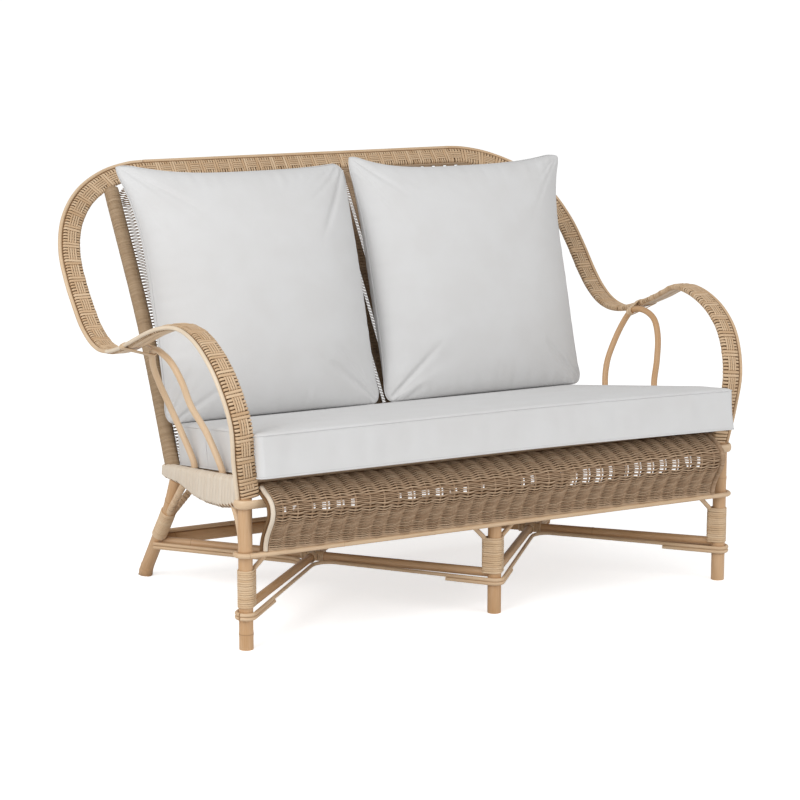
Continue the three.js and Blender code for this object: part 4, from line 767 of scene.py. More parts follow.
def band_rows(rows, first, last):
    """Rows of shares (outwards, back, up, turn) as places in millimetres."""
    return np.stack([-(first + (last - first) * rows[:, 0]), rows[:, 1] * TOP_BACK,
                     LEG_TOP + (TOP_HEIGHT - LEG_TOP) * rows[:, 2]], axis=1)


band_points = np.vstack([band_rows(arm_rows, LEG_SPREAD, EAR), band_rows(corner_rows, EAR, TOP_HALF)])
band_turns = np.concatenate([arm_rows[:, 3], corner_rows[:, 3]])
fine = 1600
left_line = smooth_path(band_points, fine, even=False)
quarter = np.interp(np.linspace(0, len(band_turns) - 1, fine + 1), range(len(band_turns)), band_turns) * math.pi / 2
ahead = unit(np.gradient(left_line, axis=0))
ahead[0], ahead[-1] = (0, 0, 1), (1, 0, 0)
side = np.stack([-np.cos(quarter), np.zeros(fine + 1), np.zeros(fine + 1)], axis=1)
side += np.sin(quarter)[:, None] * top_side
side = unit(side - ahead * np.sum(side * ahead, axis=1, keepdims=True))
whole_line = np.vstack([left_line, mirrored(left_line)[::-1]])
whole_side = np.vstack([side, mirrored(side)[::-1]])
walked = walk(whole_line)
arm_length, band_length = walked[fine], walked[-1]
print("band: arm", round(arm_length), "mm, whole", round(band_length), "mm")


def band_at(places):
    """Point, direction across and direction out of the face, at distances along the whole band."""
    places = np.asarray(places)
    point, across = (read_off(places, walked, table) for table in (whole_line, whole_side))
    forward = unit(read_off(places + 1.5, walked, whole_line) - read_off(places - 1.5, walked, whole_line))
    across = unit(across - forward * np.sum(across * forward, axis=1, keepdims=True))
    return point, forward, across, np.cross(forward, across)


# %% The band's pieces
BAND_HALF, RIM, GROOVE = 25, 4.2, 1.6
TURNS_OVER, TURNS_MOTIF = 4, 6  # the strips pass over four turns and under two
CANE_THICK, CORE_HALF = 2.0, 3.8
weave_edge = BAND_HALF - 2 * RIM - GROOVE
weave_middle = (weave_edge - BAND_HALF) / 2
wrap_outline = rounded(-BAND_HALF + CANE_THICK / 2, weave_edge - CANE_THICK / 2, CORE_HALF + CANE_THICK / 2, 4.2)
wrap_turn = (wrap_outline, 5.3, CANE_THICK)
parts = (("arm_left", "arm_band_left", 0, arm_length, 7.5),
         ("top", "top_rail", arm_length, band_length - arm_length, 6.0),
         ("arm_right", "arm_band_right", band_length - arm_length, band_length, 7.5))
for number, (name, node, first, last, aimed) in enumerate(parts):
    turn_pitch = (last - first) / round((last - first) / aimed)
    places = np.arange(first + turn_pitch / 2, last, turn_pitch)
    point, forward, across, out = band_at(places)
    bundled = np.arange(len(places)) % TURNS_MOTIF >= TURNS_OVER
    wind("band_wraps_" + name, point, forward, out, wrap_turn, None, "band_cane", band_finish, [node],
         tall=np.where(bundled, 1.1, 1.0), broad=np.where(bundled, 1.2, 1.0) * turn_pitch / 7.5, seed=11 + number,
         sway=0.012, lean=0.03)
    places = np.arange(first, last + 1, 4.0)
    point, forward, across, out = band_at(places)
    # The core is real; its dark brown is painted shade that darkens the gaps between the turns.
    core = lines_mesh("core", [point + across * weave_middle], face=out)
    strip("band_core_" + name, core, BAND_HALF + weave_edge - 2 * CANE_THICK, 2 * CORE_HALF, 16, "band_cane",
          painted_shade_finish)
    # The groove by the rim is a dark filler strip: painted shade in the groove.
    groove = lines_mesh("groove", [point + across * (weave_edge + 2)], face=out)
    strip("band_groove_" + name, groove, 7.4, 4.4, 10, "band_cane", painted_shade_finish)
    rims = [point + across * (BAND_HALF - RIM)]
    if number == 0:  # pale and bare on the armrest, as brown as the weave from the ear on
        bare = int(len(point) * 0.52)
        rims = [rims[0][:bare + 1], rims[0][bare:]]
    for part, rim in enumerate(rims):
        pole("band_rim_" + name + ("_ear" if part else ""), [rim], RIM, "band_cane",
             rim_finish if number + part == 0 else band_finish, seed=0.3 * number, sides=16, pitch=330, rise=0.03)
    start_at = first + 22 if number == 0 else first
    end_at = last - 22 if number == 2 else last
    places = np.arange(start_at, end_at, 1.5)
    point, forward, across, out = band_at(places)
    in_motif = np.mod((places - first) / turn_pitch, TURNS_MOTIF)
    over = np.clip(np.minimum(in_motif, TURNS_OVER - in_motif) / 0.45 + 0.5, 0, 1)
    over = over * over * (3 - 2 * over)
    low, high = CORE_HALF - 0.6, CORE_HALF + CANE_THICK + 0.7
    strips = [point + across * (weave_middle + (k - 1.5) * 5.2) + out * (low + (high - low) * over)[:, None]
              for k in range(4)]
    strips = lines_mesh("strips", strips, face=np.vstack([out] * 4), tone=np.repeat([0.15, 0.5, 0.3, 0.7], len(out)))
    strip("band_strips_" + name, strips, 4.5, 1.7, 6, "band_cane", band_finish)
    lining = [(point + across * (weave_middle + shift) - out * (CORE_HALF + CANE_THICK + 0.3))[::3]
              for shift in (-8.6, 8.6)]
    strip("band_lining_" + name, lines_mesh("lining", lining, face=np.vstack([out[::3]] * 2)), 16.6, 2.0, 10,
          "band_cane", binding_finish)

# %% [markdown]
# ## Wrapped rails, posts, windings and bindings
# The side rails are two poles wrapped together in wide pale peel, deep behind the front leg and slim at the back.
# The posts are bound in fine cane. Each leg is wound with its brace, and two broad turns tie each arch to the arm.

# %% Side rails and posts
# share of the rail's length, share of its full depth
skirt_table = np.array([(0, 0.8), (0.1, 0.94), (0.24, 1), (0.42, 0.97), (0.58, 0.85), (0.78, 0.53), (1, 0.41)])
along = np.linspace(0.008, 0.992, 120)
depth = np.interp(along, skirt_table[:, 0], skirt_table[:, 1])
y = SKIRT_FRONT + along * SKIRT_LENGTH
skirt_line = np.stack([-skirt_centre(y), y, deck_top(y) + SKIRT_LIP - depth * SKIRT_DEPTH / 2], axis=1)
peel_outline = rounded(-SKIRT_THICK / 2 + 0.6, SKIRT_THICK / 2 - 0.6, SKIRT_DEPTH / 2 - 0.6, 11.2, corner=6,
                       flats=1)
for name, path in (("left", skirt_line), ("right", mirrored(skirt_line))):
    wind("wrapped_side_rail_" + name, path, unit((0, 1, 0.16)), (0, 0, 1), (peel_outline, 20.3, 1.3, wide_peel),
         20.0, "wrapped_cane", peel_finish, ["side_rail_" + name], tall=depth, seed=21, sway=0.008, lean=0.03)
    core_shift = np.array([0, 0, 1.0]) * (depth * SKIRT_DEPTH / 2 - 11)[:, None]
    core_rows = [path + core_shift, path - core_shift]
    pole("side_rail_poles_" + name, core_rows, 10.2, "pole", pole_finish, seed=0.6, sides=16, step=6)

post_foot, post_head = np.array([-517, 498, 274]), np.array([-503, 850, 834])  # on the side rail, under the band
post_path = smooth_path([post_foot, (post_foot + post_head) / 2 + (8, 0, 0), post_head], 60)
post_path = np.vstack([post_path[:-1], post_head + unit(post_head - post_foot) * 12])
post_face = unit(np.cross(post_head - post_foot, (1, 0, 0)))
for name, mirror in SIDES:
    path = post_path * mirror
    wind("wrapped_post_" + name, path, unit(np.gradient(path, axis=0)), post_face, (circle(POST - 0.7), 3.1, 1.4),
         3.0, "wrapped_cane", post_finish, ["back_post_" + name], seed=31, sway=0.01, lean=0.015)
    pole("post_core_" + name, [path], POST - 1.6, "pole", post_finish, seed=0.4, sides=20, step=20)

# %% Windings and bindings
for name, x, sides in (("left", -LEG_SPREAD, [1]), ("middle", 0, [-1, 1]), ("right", LEG_SPREAD, [-1])):
    rods = [(0, 0, LEG)] + [(s * BRACE_REACH * math.cos(BRACE_TURN), BRACE_REACH * math.sin(BRACE_TURN), BRACE)
                            for s in sides]
    wind("winding_" + name, [(x, 0, 89), (x, 0, 162)], (0, 0, 1), (0, 1, 0), (round_bundle(rods, 1.3), 4.5, 2.2),
         4.45, "binding_cane", binding_finish, ["leg_winding_" + name], seed=41 + x // 100, sway=0.006, lean=0.02)

BRACE_HEAD_BACK = 373
brace_foot, back_foot = height_where(rear_leg_path, 150), height_where(rear_leg_path, 140)
brace_head = np.array([-skirt_centre(BRACE_HEAD_BACK), BRACE_HEAD_BACK,
                       deck_top(BRACE_HEAD_BACK) + SKIRT_LIP - SKIRT_DEPTH / 3])
back_head = np.array([back_foot[0] + 100, REAR_RAIL_BACK, REAR_RAIL_HEIGHT])
heights = np.linspace(112, 172, 24)
wound = np.array([height_where(rear_leg_path, h) for h in heights])
wound_ahead = unit(np.gradient(wound, axis=0))
for name, mirror in SIDES:
    wind("winding_rear_" + name, wound * mirror, wound_ahead * mirror, (0, 0.7, 0.7),
         (circle(LEG + 1.3, 28), 4.5, 2.2), 4.5, "binding_cane", binding_finish, ["rear_winding_" + name], seed=47)
    for label, foot, head, node in (("to_side", brace_foot, brace_head, "rear_side_brace_"),
                                    ("to_back", back_foot, back_head, "rear_back_brace_")):
        line = np.array(shortened(foot, head, 8, 6)) * mirror
        forward = unit(line[1] - line[0])
        wind("rear_brace_" + label + "_" + name, line, forward, unit(np.cross(forward, (1, 0, 0))),
             (circle(REAR_BRACE - 0.5, 20), 8.8, 1.2), 9.0, "wrapped_cane", rod_finish, [node + name], seed=51,
             lean=0.12)
        pole("rear_brace_core_" + label + "_" + name, [line], REAR_BRACE - 1.2, "thin_rod", rod_finish, seed=0.2,
             sides=14, step=10)

TIE_ROW = 10.35  # counted along the band's rows
tie_place = np.interp(TIE_ROW / (len(band_points) - 1) * fine, range(fine + 1), walked[:fine + 1])
tie_point, tie_ahead, tie_across, tie_out = (table[0] for table in band_at([tie_place]))
arch_fine = smooth_path(arch_rows, 800)[400:]
nearest = arch_fine[np.argmin(np.abs((arch_fine - tie_point) @ tie_ahead))] - tie_point
arch_across, arch_under = nearest @ tie_across, nearest @ tie_out
tie_rods = [(arch_across, arch_under, ARCH), (-19, 0, 6), (19.4, 0, RIM)]
for name, mirror in SIDES:
    ends = np.array([tie_point - tie_ahead * 4.6, tie_point + tie_ahead * 4.6]) * mirror
    outline = round_bundle([(mirror[0] * a, b, r) for a, b, r in tie_rods], 1.2, 48)
    wind("arch_tie_" + name, ends, tie_ahead * mirror, tie_out * mirror, (outline, 9.0, 2.0), 9.2, "binding_cane",
         binding_finish, ["arch_binding_" + name], seed=61, lean=0.05)

for name, centre, arms in (("left", junction_left, (front_middle, back_left, front_left, back_middle)),
                           ("right", junction_right, (front_right, back_middle, front_middle, back_right))):
    for number, arm in enumerate(arms):
        forward = unit(arm - centre)
        ends = [centre + forward * 6, centre + forward * 24]
        nodes = ["crossing_binding_" + name] if number == 0 else []
        wind("crossing_turns_" + name + "_" + str(number), ends, forward, (0, 0, 1),
             (circle(CROSS + 1.3, 24), 4.4, 2.0), 4.4, "binding_cane", binding_finish, nodes, seed=71 + number,
             lean=0.08)

# %% [markdown]
# ## Double strands
# Two thin canes run side by side round the feet of the legs and along the crossed poles. The upper one carries on
# to the crossing and bends there; on the front, the lower one stops a hand's width past each leg.

# %% Strands


def left_of(first, last):
    """The level direction to the left of a line from first to last."""
    ahead = last - first
    return unit(np.array([-ahead[1], ahead[0], 0.0]))


def turn_round(centre, radius, first, last, steps):
    """A level arc from one angle to another."""
    angles = np.linspace(first, last, steps + 1)
    return [np.array([centre[0] + radius * math.cos(a), centre[1] + radius * math.sin(a), 0.0]) for a in angles]


def angle_of(direction):
    """A level direction as an angle."""
    return math.atan2(direction[1], direction[0])


def corner_turn(crossing, first, last, side_sign):
    """The bend of a strand beside a crossing, on its way from first to last."""
    one, two = left_of(first, crossing) * side_sign, left_of(crossing, last) * side_sign
    offset = CROSS + STRAND + GAP + 40
    bisector = unit(one + two)
    centre = crossing + bisector * offset / (bisector @ one)
    begin, finish = angle_of(one) + math.pi, angle_of(two) + math.pi
    finish -= 2 * math.pi if finish - begin > math.pi else 0
    begin -= 2 * math.pi if begin - finish > math.pi else 0
    return turn_round(centre, 40, begin, finish, 12)


def strand_z(y):
    """The height between both strands, which rises with the crossed poles."""
    return STRAND_HEIGHT + (STRETCHER_HEIGHT - 2 * STRAND - STRAND_HEIGHT) * y / spot_y


def at_strand_height(points, lift):
    """The points at the strands' height and a lift above it."""
    return np.array([(p[0], p[1], strand_z(p[1]) + lift) for p in points])


leg_turn = LEG + STRAND + GAP  # radius of a strand round a leg
leave_left = angle_of(left_of(front_left, junction_left))
leave_front = leave_left + math.pi
strand_end = math.radians(205)
end_gap = STRAND / 2 / leg_turn
arrive_middle = angle_of(left_of(front_middle, junction_left)) + 2 * math.pi
front_half = (turn_round(front_left, leg_turn, strand_end + end_gap, leave_front, 20)
              + corner_turn(junction_left, front_left, front_middle, -1)
              + turn_round(front_middle, leg_turn, arrive_middle, 3 * math.pi / 2, 12))
front_row = front_half + [mirrored(p) for p in front_half[:-1][::-1]]
upper, _ = densely(at_strand_height(front_row, STRAND))
lower, reach = densely(at_strand_height(front_row, -STRAND))
leg_places = [reach[np.argmin(np.linalg.norm(lower[:, :2] - leg[:2], axis=1))] for leg in
              (front_left, front_middle, front_right)]
keep_lower = [lower[np.abs(reach - place) < 100 + (30 if x else 20)] for x, place in zip((1, 0, 1), leg_places)]
pole("front_strands", [upper] + keep_lower, STRAND, "thin_rod", rod_finish, ["front_strand"], seed=0.35, sides=12,
     pitch=190, step=3)
side_row = ([back_left - left_of(back_left, junction_left) * leg_turn]
            + corner_turn(junction_left, back_left, front_left, -1)
            + turn_round(front_left, leg_turn, leave_left, strand_end, 14))
side_upper, _ = densely(at_strand_height(side_row, STRAND))
side_lower, _ = densely(at_strand_height(side_row, -STRAND))
for name, mirror in SIDES:
    pole("side_strands_" + name, [side_upper * mirror, side_lower * mirror], STRAND, "thin_rod", rod_finish,
         ["side_strand_" + name], seed=0.6, sides=12, pitch=210, step=3)
strand_top = STRETCHER_HEIGHT + STRETCHER + STRAND + GAP
back_end = height_where(rear_leg_path, strand_top)[0] + LEG
pole("back_strands", [[(back_end, spot_y + shift, strand_top), (-back_end, spot_y + shift, strand_top)]
                      for shift in (-STRAND, STRAND)], STRAND, "thin_rod", rod_finish, ["back_strand"], seed=0.8,
     sides=12, pitch=230)

# %% [markdown]
# ## Woven apron, seat and back
# Core reed is woven over upright stakes. Every row waves in front of one stake and behind the next, and the next
# row does the opposite. On the apron the rows close up, and open a little at the fullest part of the bulge, where
# light shows through. The back is woven with wider gaps.

# %% Apron
APRON_HALF, APRON_BULGE, STAKE_PITCH = 543, 57, 32.545
apron_top = deck_under(16) - 3 / math.cos(SLOPE) - GAP
apron_foot = APRON_RAIL_HEIGHT + BOTTOM_RAIL + GAP
# shares of the bulge and of the apron's height, from the top down
apron_rows = [(0, -forward * APRON_BULGE, apron_foot + (apron_top - apron_foot) * up) for forward, up in (
    (-16 / APRON_BULGE, 1), (0.1, 0.985), (0.4, 0.93), (0.7, 0.87), (0.93, 0.78), (1, 0.66), (0.91, 0.53),
    (0.7, 0.39), (0.49, 0.24), (0.37, 0.1), (0.351, 0))]
apron_line = smooth_path(apron_rows, 400)
apron_walk = walk(apron_line)
row_places, place = [], 1.4
while place < apron_walk[-1] - 1.2:  # wider apart at the fullest part of the bulge, closer below it
    row_places.append(place)
    share = place / apron_walk[-1]
    tight = 1 / (1 + math.exp(-(share - 0.62) / 0.03))
    place += 3.05 - 0.85 * tight + 0.9 * math.exp(-(((share - 0.5) / 0.07) ** 2))
apron_rows_at = read_off(row_places, apron_walk, apron_line)
apron_ahead = unit(read_off(row_places, apron_walk, np.gradient(apron_line, axis=0)))
apron_out = np.cross((-1, 0, 0), apron_ahead)
print("apron rows", len(row_places), "over", round(apron_walk[-1]), "mm")


REED_SWAY = 0.5  # how far a reed strays


def weave(name, rows, face, half_width, stake_pitch, wave, radius, finish, nodes, wide=1.0, seed=1, pieces=6,
          sides=6, rib=0.0):
    """Rows of reed over stakes, each point of rows being the middle of one; sizes in millimetres."""
    mesh = lines_mesh(name, [rows], face=np.broadcast_to(np.asarray(face, float), rows.shape),
                      wide=np.ones(len(rows)) * wide)
    return grow_piece(reed_tree, name, mesh, "woven_reed", nodes, **{
        "Half Width": half_width * MM, "Stake Pitch": stake_pitch * MM, "Wave": wave * MM, "Rib": rib * MM,
        "Reed Radius": radius * MM, "Seed": seed, "Pieces Per Bay": pieces, "Sides": sides, "Sway": REED_SWAY * MM,
        "Material": finish})


weave_half = APRON_HALF - BORDER - GAP
weave("apron_reeds", apron_rows_at, apron_out, weave_half, STAKE_PITCH, 2.6, 1.4, reed_finish, ["apron_weave"],
      seed=5, pieces=8, sides=5, rib=2.8)
stake_count = round(2 * weave_half / STAKE_PITCH)
apron_stakes = [apron_line[4:-2:6] + np.array([x, 0, 0]) for x in
                np.arange(-(stake_count // 2), stake_count // 2 + 1) * STAKE_PITCH]
pole("apron_stakes", apron_stakes, 2.2, "woven_reed", reed_finish, seed=0.5, sides=6, step=8, rise=0.0)
# A dark sheet behind each bay is painted shade that keeps the weave dark; the bays in OPEN_BAYS let light
# through half-way up, round a narrow dark strip of painted shade in the middle of each.
OPEN_BAYS = {-16: 3, -14: 3, -13: 3, -12: 3, -8: 3, -7: 3, -6: 3, -5: 3, -4: 2, -2: 2, 1: 4, 4: 6, 5: 6, 6: 6, 7: 6,
             9: 5, 10: 5, 11: 5, 12: 4, 13: 4, 14: 4}
spots = np.linspace(0, len(apron_line) - 1, 52).astype(int)
shade_sheet_line = (apron_line - 5.2 * np.cross((-1, 0, 0), unit(np.gradient(apron_line, axis=0))))[spots]
shade_sheet_face = np.cross((-1, 0, 0), unit(np.gradient(shade_sheet_line, axis=0)))
half_way = len(spots) // 2
shade_sheets, narrow_shade_sheets = [], []
for bay in range(-(stake_count // 2) - 1, stake_count // 2 + 1):
    middle = (bay + 0.5) * STAKE_PITCH
    open_rows = OPEN_BAYS.get(bay, 0)
    kept = [slice(0, half_way - open_rows), slice(half_way + open_rows, None)] if open_rows else [slice(None)]
    if abs(middle) < weave_half:
        shade_sheets += [(middle, part) for part in kept]
        narrow_shade_sheets += [(middle, slice(half_way - open_rows - 1, half_way + open_rows + 1))] if open_rows else []
for name, group, wide in (("apron_second_layer", shade_sheets, STAKE_PITCH + 1),
                          ("apron_bay_middles", narrow_shade_sheets, 15)):
    layer = lines_mesh("layer", [shade_sheet_line[part] + (x, 0, 0) for x, part in group],
                       face=np.vstack([shade_sheet_face[part] for _, part in group]))
    strip(name, layer, wide, 1.2, 8, "woven_reed", painted_shade_finish)
pole("apron_end_rods", [apron_line[row] + np.array([[-weave_half, 0, 0], [weave_half, 0, 0]]) for row in (4, -5)],
     2.8, "woven_reed", reed_finish, seed=0.1, sides=10, step=12, rise=0.0)
for name, x in (("left", -APRON_HALF), ("right", APRON_HALF)):
    edge_line = apron_line[40:-1:3] + np.array([x, 0, 0])
    pole("apron_edge_" + name, [edge_line], 4.7, "thin_rod", peel_finish if x < 0 else reed_finish,
         ["apron_border_" + name], seed=0.4, sides=16, step=3, rise=0.0)
wind("apron_edge_turns_right", edge_line, unit(np.gradient(edge_line, axis=0)), (1, 0, 0),
     (circle(5.2, 16), 2.6, 1.6), 3.0, "woven_reed", reed_finish, seed=91, lean=0.06)

# %% Seat deck and back panel
DECK_STAKE_PITCH = 45
deck_places = np.arange(DECK_FRONT + 3, DECK_FRONT + DECK_DEPTH - 3, 3.9)
deck_rows = np.stack([np.zeros(len(deck_places)), deck_places, deck_top(deck_places) - 5], axis=1)
deck_half = skirt_centre(DECK_FRONT) - SKIRT_THICK / 2 - GAP
deck_wide = (skirt_centre(deck_places) - SKIRT_THICK / 2 - GAP) / deck_half
weave("seat_reeds", deck_rows, (0, math.sin(SLOPE), math.cos(SLOPE)), deck_half, DECK_STAKE_PITCH, 2.6, 1.9,
      reed_finish, ["seat_deck"], wide=deck_wide, seed=8, pieces=5, sides=5)
pole("seat_front_rod", [[(x, DECK_FRONT + 5, deck_top(DECK_FRONT) - 6.2) for x in (-deck_half, deck_half)]], 5.2,
     "woven_reed", reed_finish, seed=0.2, sides=12, step=14, rise=0.0)
stake_front, stake_back = DECK_FRONT + 2, DECK_FRONT + DECK_DEPTH - 2
deck_stakes = [[(x, stake_front, deck_top(stake_front) - 6), (x * 0.9, stake_back, deck_top(stake_back) - 6)]
               for x in np.arange(-12, 13) * float(DECK_STAKE_PITCH)]
pole("seat_stakes", deck_stakes, 2.2, "woven_reed", reed_finish, seed=0.5, sides=6, step=12, rise=0.0)

panel_foot = np.array([0, REAR_RAIL_BACK, REAR_RAIL_HEIGHT + REAR_RAIL + 7])
panel_head = np.array([0, TOP_BACK, TOP_HEIGHT]) - top_side * 30
panel_ahead = unit(panel_head - panel_foot)
panel_out = np.cross((1, 0, 0), panel_ahead)
panel_high = np.linalg.norm(panel_head - panel_foot)
PAIR_PITCH, COLUMN_PITCH, COLUMN_WIDE = 7.7, 15.625, 23.5
pair_places = np.concatenate([np.arange(3, panel_high - 64, PAIR_PITCH),
                              np.arange(panel_high - 60, panel_high - 2, 5.3)])  # closer near the top rail
panel_places = np.stack([pair_places, pair_places + 2.3], axis=1).ravel()
panel_rows = panel_foot + panel_places[:, None] * panel_ahead
PANEL_HALF = 499  # rows are shorter at the top, inside the band's corners
panel_wide = np.interp(panel_rows[:, 2], [820, 845, 862], [PANEL_HALF, 470, 430]) / PANEL_HALF
weave("back_reeds", panel_rows, panel_out, PANEL_HALF, COLUMN_PITCH, 2.5, 1.15, panel_finish, ["back_panel"],
      wide=panel_wide, seed=9, pieces=2, sides=4)
pole("back_head_rod", [[panel_head + (x, 0, 0) + top_side * 2 for x in (-432, 432)]], 3.2, "woven_reed",
     panel_finish, seed=0.1, sides=10, step=12, rise=0.0)
column_shares = np.linspace(0, 1, 30)[:, None]
column_places = [(x, COLUMN_WIDE) for x in np.arange(-29, 30, 2) * COLUMN_PITCH] + [(-480, 13), (480, 13)]
for number, wide in enumerate((COLUMN_WIDE, 13)):
    columns = []
    for x in [place for place, column_wide in column_places if column_wide == wide]:
        top_x = x * min(1, 440 / max(abs(x), 1))
        columns.append(panel_foot + (x, 0, 0) + column_shares * (panel_head - panel_foot + (top_x - x, 0, 0)))
    columns = np.array(columns)
    mesh = lines_mesh("columns", list(columns), face=np.broadcast_to(panel_out, columns.reshape(-1, 3).shape),
                      tone=np.repeat(np.random.default_rng(4).random(len(columns)), 30))
    strip("back_columns_" + str(number), mesh, wide, 2.2, 8, "woven_reed", panel_finish)

# %% [markdown]
# ## Cushions
# The seat cushion is a boxed foam pad with a crown. The back cushions are stuffed pillows: two panels joined in one
# seam all round, with sides that pull in between pointed corners. Each starts a little slim, is blown up as cloth
# with a cap on how far a point may move, and gets its seam afterwards.

# %% Cushion forms


def closed_mesh(name, points, faces):
    """A checked mesh."""
    mesh = bpy.data.meshes.new(name)
    mesh.from_pydata([tuple(p) for p in points], [], faces)
    mesh.validate()
    mesh.update()
    return mesh


def two_sheets(count_u, count_v, front, rear):
    """Front and rear grids of places joined at their common edge. Returns points, faces and the edge's order."""
    points, index_front, index_rear = [], {}, {}
    for j in range(count_v + 1):
        for i in range(count_u + 1):
            index_front[i, j] = len(points)
            points.append(front[j, i])
    for j in range(count_v + 1):
        for i in range(count_u + 1):
            if i in (0, count_u) or j in (0, count_v):
                index_rear[i, j] = index_front[i, j]
            else:
                index_rear[i, j] = len(points)
                points.append(rear[j, i])
    faces = []
    for j in range(count_v):
        for i in range(count_u):
            corners = [(i, j), (i + 1, j), (i + 1, j + 1), (i, j + 1)]
            faces.append([index_front[c] for c in corners])
            faces.append([index_rear[c] for c in corners[::-1]])
    edge = [index_front[i, 0] for i in range(count_u)] + [index_front[count_u, j] for j in range(count_v)]
    edge += [index_front[i, count_v] for i in range(count_u, 0, -1)]
    edge += [index_front[0, j] for j in range(count_v, 0, -1)]
    return points, faces, edge


PRESSURE, FRAMES = 4.0, 20  # how hard a pillow is filled, and for how long


def blow_up(piece, cap, held):
    """Fills a closed skin as cloth held at its seam, and lets no point move further than the cap."""
    seam_group = piece.vertex_groups.new(name="seam")
    seam_group.add(held, 1.0, "REPLACE")
    rest = np.array([v.co for v in piece.data.vertices])
    cloth = piece.modifiers.new("cloth", "CLOTH")
    for label, value in {
            "quality": 5, "mass": 0.25, "tension_stiffness": 18, "compression_stiffness": 18, "shear_stiffness": 8,
            "bending_stiffness": 0.6, "vertex_group_mass": "seam", "use_pressure": True,
            "uniform_pressure_force": PRESSURE}.items():
        setattr(cloth.settings, label, value)
    cloth.settings.effector_weights.gravity = 0
    cloth.collision_settings.use_collision = False
    for number in range(1, FRAMES + 1):
        scene.frame_set(number)
    evaluated = piece.evaluated_get(bpy.context.evaluated_depsgraph_get())
    moved = np.array([v.co for v in evaluated.data.vertices])
    piece.modifiers.remove(cloth)
    piece.vertex_groups.clear()
    scene.frame_set(1)
    shift = moved - rest
    length = np.linalg.norm(shift, axis=1, keepdims=True)
    shift *= cap * np.tanh(length / cap) / np.maximum(length, 1e-9)
    piece.data.vertices.foreach_set("co", (rest + shift).ravel())
    piece.data.update()


def new_cushion(name, points, faces):
    """A cushion's skin with its cloth on."""
    piece = bpy.data.objects.new(name, closed_mesh(name, points, faces))
    scene.collection.objects.link(piece)
    piece.data.materials.append(cloth_finish)
    piece.data.polygons.foreach_set("use_smooth", [True] * len(piece.data.polygons))
    return piece


def finish_cushion(piece, body):
    """Rounds a cushion's facets and puts it on its body."""
    subdivide = piece.modifiers.new("smooth", "SUBSURF")
    subdivide.levels = subdivide.render_levels = 1
    dress(piece, body, "cushion_cloth", body)


# %% Back cushions
LEAN, PILLOW_FOOT_BACK = math.radians(17.2), 494
PILLOW_WIDE, PILLOW_HIGH, FRONT_DEPTH, REAR_DEPTH, CUSHION_GAP = 536, 556, 100, 116, 3
CROWN, CROWN_INSETS, CROWN_SHARES = 7, (0, 18, 50, 80, 120, 160, 200, 262), (0, 0.1, 0.32, 0.5, 0.7, 0.84, 0.94, 1)
SEAT_THICK, SINK = 98, 14  # the pillow's foot is pressed flat on the seat by the sink
back_along = np.array([0, math.sin(LEAN), math.cos(LEAN)])
back_forward = np.array([0, -math.cos(LEAN), math.sin(LEAN)])
foot_on_deck = np.array([0, PILLOW_FOOT_BACK, deck_top(PILLOW_FOOT_BACK)])
back_foot_point = np.array([0, PILLOW_FOOT_BACK, foot_on_deck[2] + SEAT_THICK + CUSHION_GAP - SINK])
seat_square = np.array([0, math.sin(SLOPE), math.cos(SLOPE)])
seat_plane = foot_on_deck + seat_square * (SEAT_THICK + 1)
panel_plane = panel_foot + panel_out * (3.5 + 1.8 + 0.5)


def ripples(places, seed, longest=70, shortest=18):
    """A seeded wavy line between -1 and 1 at places in millimetres: the puckers that a seam draws in cloth."""
    chance = np.random.default_rng(seed)
    lengths = np.exp(chance.uniform(math.log(shortest), math.log(longest), 9))
    starts = chance.uniform(0, 2 * math.pi, 9)
    return sum(np.sin(2 * math.pi * places / length + first) for length, first in zip(lengths, starts)) / 9**0.5


# how far the top corners of each pillow reach out, up and back, left one first, and the lift of its top edge
EARS = {"left": ((33, 38, 25), (2, 14, 25), 30), "right": ((6, 32, 10), (34, 10, 0), 19)}


